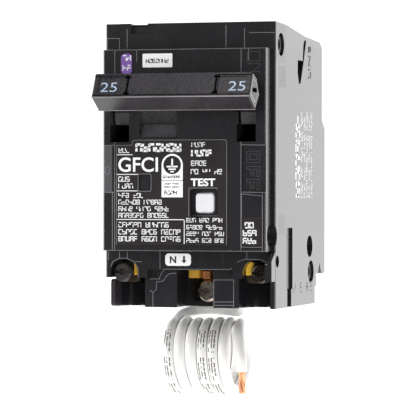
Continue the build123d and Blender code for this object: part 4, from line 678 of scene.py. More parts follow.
@dataclass
class Studio:
    """Camera, pale floor and soft light.

    Attributes:
        eye: The camera's place in metres.
        yaw: Turn about the length, from straight down, in radians.
        pitch: Turn along the length in radians.
        roll: Turn about the line of sight in radians.
        lens: Focal length in millimetres, on a sensor 36 mm wide.
        floor_half: Half the floor's side in metres.
        floor_gap: Gap between the floor and the breaker's back, in metres.
        floor_glow: Brightness of the floor as it is seen.
        floor_gloss: Brightness added where the floor is seen in a reflection.
        sky: Brightness of the surroundings.
    """

    eye: tuple[float, float, float] = (0.2301758, -0.0070668, 0.7794923)
    yaw: float = 0.3006
    pitch: float = -0.0067
    roll: float = 0.0010
    lens: float = 230.65
    floor_half: float = 1.5
    floor_gap: float = 0.0001
    floor_glow: float = 1.0
    floor_gloss: float = 0.94
    sky: float = 0.12
    softboxes: tuple[Softbox, ...] = (
        Softbox("light_left", (-0.85, 0.15, 0.62), 0.6, 9.5),
        Softbox("light_right", (0.75, -0.35, 0.75), 0.6, 7.0),
        Softbox("light_line_end", (0.1, 0.95, 0.6), 0.6, 6.0),
        Softbox("light_load_end", (0.05, -0.95, 0.6), 0.6, 7.0),
    )

    def build(self) -> None:
        """Make the camera, the floor, the surroundings and the lights."""
        self.camera()
        self.floor()
        world = bpy.data.worlds.new("surroundings")
        world.use_nodes = True
        world.node_tree.nodes["Background"].inputs["Color"].default_value = (1, 1, 1, 1)
        world.node_tree.nodes["Background"].inputs["Strength"].default_value = self.sky
        bpy.context.scene.world = world
        bpy.context.scene.view_settings.view_transform = "Standard"
        for softbox in self.softboxes:
            softbox.build()

    def camera(self) -> None:
        """Stand the camera: its axes are worked out from yaw, pitch and roll."""
        ahead = Vector((-sin(self.yaw) * cos(self.pitch), sin(self.pitch), -cos(self.yaw) * cos(self.pitch)))
        level = Vector((cos(self.yaw), 0, -sin(self.yaw)))
        above = level.cross(ahead)
        right = cos(self.roll) * level + sin(self.roll) * above
        up = cos(self.roll) * above - sin(self.roll) * level
        eye = bpy.data.objects.new("camera", bpy.data.cameras.new("camera"))
        eye.data.lens = self.lens
        eye.data.sensor_width = 36.0
        eye.data.clip_start = 0.01
        turned = Matrix((right, up, -ahead)).transposed().to_4x4()
        turned.translation = Vector(self.eye)
        eye.matrix_world = turned
        bpy.context.scene.collection.objects.link(eye)
        bpy.context.scene.camera = eye

    def floor(self) -> None:
        """Lay the pale floor, which glows evenly like a light table."""
        half, low = self.floor_half, -self.floor_gap
        corners = np.array([[-half, -half, low], [half, -half, low], [half, half, low], [-half, half, low]])
        floor = mesh_piece("floor", corners, np.array([[0, 1, 2, 3]]))
        pale = bpy.data.materials.new("pale_floor")
        pale.use_nodes = True
        nodes, links = pale.node_tree.nodes, pale.node_tree.links
        path = nodes.new("ShaderNodeLightPath")
        glow = nodes.new("ShaderNodeMath")
        glow.operation = "MULTIPLY_ADD"
        glow.inputs[1].default_value = self.floor_gloss
        glow.inputs[2].default_value = self.floor_glow
        shader = nodes["Principled BSDF"]
        shader.inputs["Base Color"].default_value = (0.3, 0.3, 0.3, 1)
        shader.inputs["Emission Color"].default_value = (1, 1, 1, 1)
        links.new(path.outputs["Is Glossy Ray"], glow.inputs[0])
        links.new(glow.outputs["Value"], shader.inputs["Emission Strength"])
        floor.data.materials.append(pale)


# ---- neutral lead ----------------------------------------------------------------------------


@dataclass
class NeutralLead:
    """White lead wound into a coil before the load end, with its bare end on top.

    Attributes:
        wire_radius: Radius of the insulation in millimetres.
        bare_radius: Radius of the bare copper in millimetres.
        coil_axis: Axis of the coil, along and above the floor, in millimetres.
        coil_radius: Middle radius of the turns in millimetres.
        crossings: Places across where each turn passes the case side, in millimetres.
        route: Control points of the free run, across, along and up, in millimetres.
        tail: Control points after the last turn, as offsets of the same kind.
        turn_points: Control points in one turn.
        print_turns: Turns with print on them, counted from the first.
        print_start: Angle where the print starts, in radians.
        print_length: Length of the print in millimetres.
        print_height: Height of its marks in millimetres.
        print_depth: Depth and rise of the marks at the wire's surface, in millimetres.
        print_words: Words on each turn.
        print_seed: Seed of the first turn's marks.
        print_weight: Thickness of a stroke as a share of its height.
    """

    wire_radius: float = 1.65
    bare_radius: float = 1.05
    coil_axis: tuple[float, float] = (-16.3, 12.0)
    coil_radius: float = 10.05
    crossings: tuple[float, ...] = (-17.9, -14.3, -10.7, -7.3, -3.9, -0.6, 2.7)
    route: tuple[tuple[float, float, float], ...] = (
        (4.6, 2.4, 15.0),
        (4.6, -2.6, 15.0),
        (-2.5, -2.6, 8.5),
        (-8.5, -2.6, 4.2),
        (-14.2, -2.8, 3.6),
        (-17.9, -4.1, 6.9),
    )
    tail: tuple[tuple[float, float, float], ...] = ((5.6, -15.6, 22.1), (5.9, -18.0, 22.05),
                                                    (5.9, -20.2, 22.0))
    turn_points: int = 16
    print_turns: tuple[int, ...] = (0, 3, 4)
    print_start: float = 0.8
    print_length: float = 25.5
    print_height: float = 1.9
    print_depth: float = 0.05
    print_words: int = 3
    print_seed: int = 400
    print_weight: float = 0.16

    def turns(self) -> Array:
        """Control points of the turns.

        The angle runs from the case side over the top; along and height follow its cosine and sine at
        the coil's radius, and the place across is read between the crossings. Radius and place vary a
        little from turn to turn, as turns wound by hand do.

        Returns:
            Points in millimetres, one row each.
        """
        count = len(self.crossings) - 1
        turn = np.arange(0, (count + 0.17) * self.turn_points) / self.turn_points
        angle = 2 * pi * turn
        across = np.interp(turn, np.arange(count + 1), self.crossings)
        across = across + np.where(turn > count, (turn - count) * 11.0, 0.0)
        radius = self.coil_radius / cos(pi / self.turn_points) + 0.12 * np.sin(1.7 * turn + 0.4)
        along = self.coil_axis[0] + radius * np.cos(angle)
        height = self.coil_axis[1] + radius * np.sin(angle)
        return np.stack([across, along, height], axis=-1)

    def build(self) -> None:
        """Make the insulated lead as one smooth spline, and finish its bare end."""
        points = np.concatenate([np.array(self.route), self.turns(), np.array(self.tail)]) * MM
        points[:, 1] += LOAD_Y
        line = bpy.data.curves.new("neutral_lead", "CURVE")
        line.dimensions = "3D"
        line.bevel_depth = self.wire_radius * MM
        line.bevel_resolution = 8
        line.resolution_u = 10
        line.use_fill_caps = True
        spline = line.splines.new("NURBS")
        spline.points.add(len(points) - 1)
        spline.points.foreach_set("co", np.hstack([points, np.ones((len(points), 1))]).ravel())
        spline.order_u = 3
        spline.use_endpoint_u = True
        lead = bpy.data.objects.new("neutral_lead", line)
        bpy.context.scene.collection.objects.link(lead)
        finish_piece(lead, "case", material("wire_white"))
        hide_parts("lead_run", "lead_coil", "lead_tail")
        self.bare_end(points[-1])
        self.marks()

    def marks(self) -> bpy.types.Object:
        """Unreadable print along the outside of some turns.

        A place on the print, s along the turn and u across the wire, lies at the angle a0 + s / (R + r)
        round the coil and at the angle asin(u / r) round the wire, with the turn's middle radius R and
        the wire's radius r.

        Returns:
            The new piece.
        """
        row = Row((0.0, 0.0), self.print_length, self.print_height, self.print_words)
        rows = [row_strokes(row, self.print_seed + turn, self.print_weight) for turn in self.print_turns]
        number = np.concatenate([np.full(len(marks[0]), turn) for marks, turn in zip(rows, self.print_turns)])
        centres, halves = (np.concatenate([marks[part] for marks in rows]) for part in (0, 1))
        signs = np.array([(-1, -1), (1, -1), (1, 1), (-1, 1)])
        flat = centres[:, None] + signs * halves[:, None]
        flat = np.concatenate([flat, flat], axis=1)
        reach = self.wire_radius + np.repeat([-self.print_depth, self.print_depth], 4)
        angle = self.print_start + flat[..., 0] / (self.coil_radius + self.wire_radius)
        turn = number[:, None] + angle / (2 * pi)
        tilt = np.arcsin((flat[..., 1] - self.print_height / 2) / self.wire_radius)
        across = np.interp(turn, np.arange(len(self.crossings)), self.crossings) + reach * np.sin(tilt)
        radius = self.coil_radius + 0.12 * np.sin(1.7 * turn + 0.4) + reach * np.cos(tilt)
        along = self.coil_axis[0] + radius * np.cos(angle)
        height = self.coil_axis[1] + radius * np.sin(angle)
        points = np.stack([across, along, height], axis=-1).reshape(-1, 3) * MM + np.array([0, LOAD_Y, 0])
        block = np.array([[0, 3, 2, 1], [4, 5, 6, 7], [0, 1, 5, 4], [1, 2, 6, 5], [2, 3, 7, 6], [3, 0, 4, 7]])
        faces = (np.arange(len(centres))[:, None, None] * 8 + block).reshape(-1, 4)
        piece = mesh_piece("lead_print", points, faces)
        recalculate(piece)
        finish_piece(piece, "case", material("ink_faded"))
        return piece

    def bare_end(self, start: Array) -> bpy.types.Object:
        """The bare stranded end: a fluted rod whose radius follows seven twisted strands.

        At angle a and distance s the radius is the bare radius less a tenth of it times the absolute
        sine of three and a half times the angle plus a slow twist, and its last ring closes.

        Args:
            start: Where the insulation ends, in metres.

        Returns:
            The new piece.
        """
        reach = 6.5
        rings, sides = 25, 42
        s = np.linspace(0.0, 1.0, rings)[:, None]
        a = np.linspace(0.0, 2 * pi, sides, endpoint=False)[None, :]
        radius = self.bare_radius * (1 - 0.16 * np.abs(np.sin(3.5 * (a + 1.1 * s))))
        radius = radius * np.where(s > 0.97, 0.86, 1.0)
        x = start[0] + (radius * np.cos(a) + 0.15 * s) * MM
        y = start[1] + (0.6 - (reach + 0.6) * s + 0 * a) * MM
        z = start[2] + (radius * np.sin(a) - 0.1 * s) * MM
        body = np.stack([x, y, z], axis=-1).reshape(-1, 3)
        ends = np.stack([body[:sides].mean(axis=0), body[-sides:].mean(axis=0)])
        i, j = np.meshgrid(np.arange(rings - 1), np.arange(sides), indexing="ij")
        here, over = i * sides + j, i * sides + (j + 1) % sides
        quads = np.stack([here, over, over + sides, here + sides], axis=-1).reshape(-1, 4)
        ring = np.arange(sides)
        last = (rings - 1) * sides
        first_cap = np.stack([ring, np.full(sides, len(body)), (ring + 1) % sides], axis=-1)
        last_cap = np.stack([last + ring, last + (ring + 1) % sides, np.full(sides, len(body) + 1)], axis=-1)
        faces = [*quads.tolist(), *first_cap.tolist(), *last_cap.tolist()]
        mesh = bpy.data.meshes.new("bare_copper_end")
        mesh.from_pydata(np.concatenate([body, ends]).tolist(), [], faces)
        mesh.polygons.foreach_set("use_smooth", np.full(len(mesh.polygons), True))
        mesh.update()
        piece = bpy.data.objects.new("bare_copper_end", mesh)
        bpy.context.scene.collection.objects.link(piece)
        finish_piece(piece, "case", material("copper_bare"))
        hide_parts("lead_bare_end")
        return piece


# ---- front -----------------------------------------------------------------------------------


@dataclass
class FrontPrint:
    """White print of the nameplate: its word, its function labels, rules and rows of small print.

    Attributes:
        ink: Height of the ink in millimetres.
        rows: Rows of small print, left block first.
        rule_lines: Rules as start across, start along, end across, end along, in millimetres.
        rule_width: Width of a rule in millimetres.
        outline: Corners of the plate's outline, across and along, in millimetres.
    """

    ink: float = 0.03
    rows: tuple[Row, ...] = (
        Row((-19.4, 44.2), -15.7, 1.45, 1),
        Row((-19.45, 36.0), -15.2, 1.5, 1),
        Row((-19.45, 34.05), -14.9, 1.45, 1),
        Row((-19.45, 31.4), -11.4, 1.4, 2),
        Row((-19.45, 29.5), -6.25, 1.4, 2),
        Row((-19.45, 27.6), -3.95, 1.4, 3),
        Row((-19.45, 25.75), -3.95, 1.4, 2),
        Row((-19.45, 23.0), -3.2, 1.5, 2),
        Row((-19.45, 21.0), -0.2, 1.5, 3),
        Row((-19.45, 19.0), -0.5, 1.5, 3),
        Row((2.4, 45.8), 7.2, 1.35, 1),
        Row((2.3, 40.5), 7.8, 1.5, 1),
        Row((2.2, 38.1), 12.4, 1.5, 3),
        Row((0.9, 24.5), 12.3, 1.25, 3),
        Row((0.9, 22.5), 12.3, 1.25, 2),
        Row((0.9, 20.7), 12.3, 1.2, 3),
        Row((0.9, 18.8), 12.3, 1.2, 3),
    )
    rule_lines: tuple[tuple[float, float, float, float], ...] = (
        (-19.9, 43.7, -15.2, 43.7),
        (-19.9, 38.1, -13.6, 38.1),
        (-19.9, 33.4, -13.8, 33.4),
        (-19.9, 25.25, 0.3, 25.25),
        (0.3, 25.25, 0.3, 18.5),
    )
    rule_width: float = 0.2
    outline: tuple[tuple[float, float], ...] = (
        (-20.0, 18.1), (-20.0, 46.4), (-15.55, 46.4), (-15.2, 46.9), (-15.2, 47.5), (-14.8, 47.85),
        (12.5, 47.85), (12.85, 47.4), (12.85, 18.1),
    )

    def build(self) -> None:
        """Print the nameplate."""
        white = material("print_white")
        finish_piece(small_print("plate_small_print", Face.PLATE, list(self.rows), self.ink, 11), "case",
                     white)
        word = small_print_heavy("plate_maker_line", Row((-14.2, 44.45), 1.3, 2.5, 1), self.ink, 5)
        finish_piece(word, "case", white)
        rating = small_print_heavy("plate_type_line", Row((2.4, 43.1), 9.3, 2.0, 1), self.ink, 21)
        finish_piece(rating, "case", white)
        lines = mesh_piece("plate_rules",
                           *rules(Face.PLATE, np.array(self.rule_lines), self.rule_width, self.ink))
        finish_piece(lines, "case", white)
        finish_piece(front_letters("plate_gfci", "GFCI", (-19.45, 38.8), (11.9, 4.15), bold=0.012), "case",
                     white)
        finish_piece(front_letters("plate_test", "TEST", (2.2, 34.75), (7.3, 2.2), bold=0.03), "case",
                     white)
        # painted highlight: a grey line round the nameplate where its edge catches the light
        border = strip("plate_outline", Face.PLATE, self.outline, 0.14, self.ink)
        finish_piece(border, "case", material("edge_highlight_grey"))
        self.panel()
        self.date()

    def panel(self) -> None:
        """White panel with a round top, its dark disc with the earth sign, and its rows of dark marks.

        The outline is a half circle on a box: the half circle's points follow cosine and sine.
        """
        middle, radius, low, centre_y = -3.3, 3.15, 31.6, 40.75
        angle = np.linspace(0, pi, 33)
        arch = np.stack([middle + radius * np.cos(angle), centre_y + radius * np.sin(angle)], axis=-1)
        outline = np.concatenate([arch, [[middle - radius, low], [middle + radius, low]]])
        panel = plate_piece("plate_panel", Face.PLATE, outline, 0.0, self.ink)
        finish_piece(panel, "case", material("print_white"))
        turn = np.linspace(0, 2 * pi, 48, endpoint=False)
        disc = np.stack([middle + 2.62 * np.cos(turn), centre_y + 2.62 * np.sin(turn)], axis=-1)
        finish_piece(plate_piece("plate_panel_disc", Face.PLATE, disc, self.ink, 0.02), "case",
                     material("plate_black"))
        marks = np.array([[middle, 41.4], [middle, 40.3], [middle, 39.55], [middle, 38.85]])
        halves = np.array([[0.24, 1.15], [1.65, 0.22], [1.1, 0.2], [0.55, 0.18]])
        points, faces = slab_points(Face.PLATE, marks, halves, 0.02)
        points[:, 2] += (self.ink + 0.02) * MM
        sign = mesh_piece("plate_panel_marks", points, faces)
        finish_piece(sign, "case", material("print_white"))
        rows = [Row((-6.1, 37.0), -0.5, 0.75, 1), Row((-5.6, 35.15), -1.0, 0.5, 2),
                Row((-5.6, 34.25), -1.0, 0.5, 2),
                Row((-5.6, 32.3), -1.3, 1.2, 1)]
        parts = [row_strokes(row, 90 + number, 0.2) for number, row in enumerate(rows)]
        centres = np.concatenate([part[0] for part in parts] + [np.array([[middle, 36.35]])])
        halves = np.concatenate([part[1] for part in parts] + [np.array([[radius, 0.07]])])
        points, faces = slab_points(Face.PLATE, centres, halves, 0.02)
        points[:, 2] += self.ink * MM
        dark = mesh_piece("plate_panel_rows", points, faces)
        finish_piece(dark, "case", material("ink_black"))

    def date(self) -> None:
        """Three rows of marks on the dark date label, and a thin grey line round its recess, a painted
        highlight of the recess edge.
        """
        rows = [Row((18.15, 22.9), 21.2, 1.75, 1), Row((17.6, 20.7), 22.7, 1.75, 1),
                Row((17.6, 18.55), 22.7, 1.7, 1)]
        parts = [row_strokes(row, 70 + number, 0.2) for number, row in enumerate(rows)]
        points, faces = slab_points(Face.PLATE, np.concatenate([part[0] for part in parts]),
                                    np.concatenate([part[1] for part in parts]), self.ink)
        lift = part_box("date_label")[1].z - PRINT_Z
        points[:, 2] += lift
        finish_piece(mesh_piece("date_marks", points, faces), "case", material("print_white"))
        outline = ((17.15, 17.6), (17.15, 32.6), (23.3, 32.0), (23.3, 17.6), (17.15, 17.6))
        finish_piece(strip("date_outline", Face.FRONT, outline, 0.14, 0.05), "case",
                     material("edge_highlight_grey"))


def small_print_heavy(name: str, row: Row, depth: float, seed: int) -> bpy.types.Object:
    """One row of bold marks that stand for a word."""
    centres, halves = row_strokes(row, seed, 0.26)
    return mesh_piece(name, *slab_points(Face.PLATE, centres, halves, depth))


def plate_piece(name: str, face: Face, outline: Array, base: float, depth: float) -> bpy.types.Object:
    """A thin flat piece with a closed outline, its top one face and its edge a ring of walls.

    Args:
        name: The piece's name.
        face: The face it lies on.
        outline: Corners of the outline, across and along, in millimetres, counterclockwise.
        base: Height of its underside above the face, in millimetres.
        depth: Its thickness in millimetres.

    Returns:
        The new piece.
    """
    count = len(outline)
    low = on_face(face, outline[:, 0], outline[:, 1], np.full(count, base))
    high = on_face(face, outline[:, 0], outline[:, 1], np.full(count, base + depth))
    ring = np.arange(count)
    after = (ring + 1) % count
    walls = np.stack([ring, after, after + count, ring + count], axis=-1).tolist()
    mesh = bpy.data.meshes.new(name)
    mesh.from_pydata(np.concatenate([low, high]).tolist(), [],
                     [*walls, (ring + count).tolist(), ring[::-1].tolist()])
    mesh.update()
    piece = bpy.data.objects.new(name, mesh)
    bpy.context.scene.collection.objects.link(piece)
    return piece


def strip(name: str, face: Face, corners: tuple[tuple[float, float], ...], width: float, depth: float,
          base: float = 0.0) -> bpy.types.Object:
    """A raised line along a run of corners, mitred by the mean of the neighbouring directions.

    Args:
        name: The piece's name.
        face: The face it lies on.
        corners: Corners of the line, across and along, in millimetres.
        width: Width of the line in millimetres.
        depth: Its height in millimetres.
        base: Height of its underside above the face, in millimetres.

    Returns:
        The new piece.
    """
    return mesh_piece(name, *strip_points(face, np.array(corners, float), width, depth, base))


def strip_points(face: Face, line: Array, width: float, depth: float, base: float = 0.0) -> tuple[Array,
                                                                                                  Array]:
    """Points and faces of a raised line: each corner gives four points, left and right, low and high."""
    run = np.diff(line, axis=0)
    run = run / np.linalg.norm(run, axis=1, keepdims=True)
    before = np.vstack([run[:1], run])
    after = np.vstack([run, run[-1:]])
    mean = before + after
    mean = mean / np.linalg.norm(mean, axis=1, keepdims=True)
    normal = np.stack([-mean[:, 1], mean[:, 0]], axis=-1)
    stretch = 1 / np.clip((mean * after).sum(axis=1), 0.5, 1)
    side = normal * (width / 2 * stretch)[:, None]
    flat = np.stack([line + side, line - side, line - side, line + side], axis=1)
    lift = np.tile([base, base, base + depth, base + depth], (len(line), 1))
    points = on_face(face, flat[..., 0], flat[..., 1], lift).reshape(-1, 3)
    start = 4 * np.arange(len(line) - 1)[:, None]
    faces = [start + np.array([[a, (a + 1) % 4, (a + 1) % 4 + 4, a + 4]]) for a in range(4)]
    caps = np.array([[3, 2, 1, 0], 4 * (len(line) - 1) + np.array([0, 1, 2, 3])])
    return points, np.concatenate([*faces, caps])


@dataclass
class FrontLabels:
    """Marks of the stickers at the line end and beside the neutral terminal."""

    ink: float = 0.02

    def build(self) -> None:
        """Add the marks to each label."""
        self.marks("serial_label", "serial_marks", [Row((-11.2, 69.7), -4.1, 1.25, 1)], "ink_black",
                   "print_black", 31)
        self.marks("colour_sticker", "sticker_marks",
                   [Row((-18.2, 70.4), -15.9, 1.7, 1), Row((-18.2, 67.6), -15.9, 1.7, 1)],
                   "print_white", "print_white", 41)
        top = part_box("neutral_label")[1].z
        low = Vector((-5.9 * MM, LOAD_Y + 12.75 * MM, top))
        mark = lettering("neutral_letter", "N", low, Vector((1, 0, 0)), Vector((0, 1, 0)), (1.9, 2.0), 0.03)
        finish_piece(mark, "case", material("ink_black"))
        arrow = np.array([[-1.65, 12.7], [-0.85, 13.6], [-1.35, 13.6], [-1.35, 14.8], [-1.95, 14.8],
                          [-1.95, 13.6],
                          [-2.45, 13.6]])
        piece = plate_piece("neutral_arrow", Face.SHOULDER, arrow, (top - SHOULDER_Z) / MM, self.ink)
        finish_piece(piece, "case", material("ink_black"))

    def marks(self, node: str, name: str, rows: list[Row], finish: str, slot: str, seed: int) -> None:
        """Rows of marks on top of a label's node."""
        parts = [row_strokes(row, seed + number, 0.2) for number, row in enumerate(rows)]
        points, faces = slab_points(Face.FRONT, np.concatenate([part[0] for part in parts]),
                                    np.concatenate([part[1] for part in parts]), self.ink)
        points[:, 2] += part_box(node)[1].z - FRONT_Z
        finish_piece(mesh_piece(name, points, faces), "case", material(finish))


@dataclass
class TieNumbers:
    """The ampere numbers and the dark joint lines of the handle tie's upper face.

    The upper face runs from the vertex to the top of the tie's profile.

    Attributes:
        vertex: Vertex of the profile, along and up, in millimetres.
        top: Top of the profile, along and up, in millimetres.
        number_x: Left edge of each number, in millimetres.
        number_size: Width and height of a number in millimetres.
        number_start: Distance of a number's foot from the vertex, in millimetres.
    """

    vertex: tuple[float, float] = (59.6, 73.5)
    top: tuple[float, float] = (66.4, 70.0)
    number_x: tuple[float, float] = (-20.9, 16.7)
    number_size: tuple[float, float] = (4.9, 3.0)
    number_start: float = 1.9

    def place(self, x: float, reach: float) -> Vector:
        """The point on the upper face at x and at a distance from the vertex, in metres."""
        foot = Vector((0, LOAD_Y + self.vertex[0] * MM, self.vertex[1] * MM))
        return foot + self.upward() * reach * MM + Vector((x * MM, 0, 0))

    def upward(self) -> Vector:
        """Unit direction up the face, away from the vertex."""
        return Vector((0, self.top[0] - self.vertex[0], self.top[1] - self.vertex[1])).normalized()

    def build(self) -> None:
        """Print both numbers, and lay the dark lines round the tips."""
        right = Vector((1, 0, 0))
        out = right.cross(self.upward())
        for side, x in zip(SIDES, self.number_x):
            low = self.place(x, self.number_start) - out * 0.23 * MM
            number = lettering(f"ampere_{side}", "25", low, right, self.upward(), self.number_size,
                               -0.004, 0.03)
            finish_piece(number, "switch", material("print_blue_white"))
        lines = [((-12.7, 6.9), (-23.0, 6.9)), ((12.7, 6.9), (23.0, 6.9)), ((-23.0, 0.75), (23.0, 0.75))]
        for number, (start, end) in enumerate(lines):
            self.bar(f"tie_line_{number}", start, end, 0.3, "void_black", "handle_plastic")
        for side, sign in SIGN.items():
            x = sign * 12.95
            self.bar(f"tie_notch_{side}", (x - 0.3, 3.9), (x + 0.3, 3.9), 5.4, "void_black", "handle_plastic")
            for number, reach in enumerate((1.3, 6.4)):
                self.bar(f"tie_notch_{side}_{number}", (x - 0.85, reach), (x + 0.85, reach), 0.7,
                         "void_black",
                         "handle_plastic")
        # painted highlight: a light line along the tie's vertex
        self.bar("tie_vertex_light", (-23.1, 0.1), (23.1, 0.1), 0.3, "tie_edge_highlight", "handle_plastic")

    def bar(self, name: str, start: tuple[float, float], end: tuple[float, float], width: float, finish: str,
            slot: str) -> None:
        """A thin bar on the upper face between two places, given as x and distance from the vertex."""
        out = Vector((1, 0, 0)).cross(self.upward())
        low = self.place(min(start[0], end[0]), start[1] - width / 2)
        high = self.place(max(start[0], end[0]), end[1] + width / 2)
        a, b = np.array(low), np.array(high)
        c = a + np.array([b[0] - a[0], 0, 0])
        d = b - np.array([b[0] - a[0], 0, 0])
        face = np.array([a, c, b, d])
        points = np.concatenate([face - np.array(out) * 0.05 * MM, face + np.array(out) * 0.02 * MM])
        faces = np.array([[4, 5, 6, 7], [3, 2, 1, 0], [0, 1, 5, 4], [1, 2, 6, 5], [2, 3, 7, 6], [3, 0, 4, 7]])
        finish_piece(mesh_piece(name, points, faces), "switch", material(finish))


@dataclass
class TieCap:
    """Painted highlights and painted shade on the right end face of the handle tie: light rims where its
    stepped edges catch the light, a light line along its lower front corner, and a black slit for a shaded
    opening.

    Attributes:
        end_x: Place of the end face across, in millimetres.
        profile: Corners of the tie's profile, along and up, in millimetres.
        shrinks: How far each rim is drawn in towards the middle, as a share.
        low_edge: The tie's lower front corner, along and up, in millimetres.
        edge_corners: Corners of the painted edge highlight about that corner, in millimetres.
    """

    end_x: float = 23.2
    profile: tuple[tuple[float, float], ...] = (
        (59.6, 73.5), (66.4, 70.0), (65.0, 66.2), (60.2, 63.6), (56.1, 67.5),
    )
    shrinks: tuple[float, float] = (0.9, 0.66)
    low_edge: tuple[float, float] = (56.1, 67.5)
    edge_corners: tuple[tuple[float, float], ...] = ((-0.1, 0.13), (-0.1, -0.14), (0.16, -0.12), (0.16, 0.14))

    def build(self) -> None:
        """Lay both rims and the slit: each rim is the profile drawn in by its share about its middle."""
        corners = np.array(self.profile)
        middle = corners.mean(axis=0)
        for number, shrink in enumerate(self.shrinks):
            outer = middle + (corners - middle) * shrink
            inner = middle + (corners - middle) * (shrink - 0.055)
            rim = self.ring(f"tie_rim_{number}", outer, inner)
            finish_piece(rim, "switch", material("rim_highlight_grey"))
        # painted highlight along the tie's lower front corner
        low = np.array(self.low_edge) + np.array(self.edge_corners)
        points = np.concatenate([np.column_stack([np.full(4, x), low]) for x in (-23.1, 23.1)]) * MM
        sides = np.array([[0, 1, 5, 4], [1, 2, 6, 5], [2, 3, 7, 6], [3, 0, 4, 7], [0, 1, 2, 3], [4, 5, 6, 7]])
        edge = mesh_piece("tie_low_edge", points + np.array([0, LOAD_Y, 0]), sides)
        recalculate(edge)
        finish_piece(edge, "switch", material("tie_edge_highlight"))
        # painted shade: the slit is a flat black sheet standing for a shaded opening
        slit = middle + np.array([[-0.6, -2.2], [0.6, -2.2], [0.6, 2.2], [-0.6, 2.2]])
        hole = self.ring("tie_slit", slit, middle + (slit - middle) * 0.02)
        finish_piece(hole, "switch", material("void_black"))

    def ring(self, name: str, outer: Array, inner: Array) -> bpy.types.Object:
        """A flat ring on the end face between two outlines with as many corners."""
        count = len(outer)
        flat = np.concatenate([outer, inner])
        low = np.stack([np.full(2 * count, self.end_x - 0.05), flat[:, 0], flat[:, 1]], axis=-1)
        high = low + np.array([0.07, 0, 0])
        points = np.concatenate([low, high]) * MM + np.array([0, LOAD_Y, 0])
        i = np.arange(count)
        j = (i + 1) % count
        top = 2 * count
        faces = np.concatenate([
            np.stack([i + top, i + count + top, j + count + top, j + top], axis=-1),
            np.stack([i, j, j + count, i + count], axis=-1),
            np.stack([i, i + top, j + top, j], axis=-1),
            np.stack([i + count, j + count, j + count + top, i + count + top], axis=-1),
        ])
        piece = mesh_piece(name, points, faces)
        recalculate(piece)
        return piece


def recalculate(piece: bpy.types.Object) -> None:
    """Turn every face of a closed piece outwards."""
    shape = bmesh.new()
    shape.from_mesh(piece.data)
    bmesh.ops.recalc_face_normals(shape, faces=shape.faces)
    shape.to_mesh(piece.data)
    shape.free()


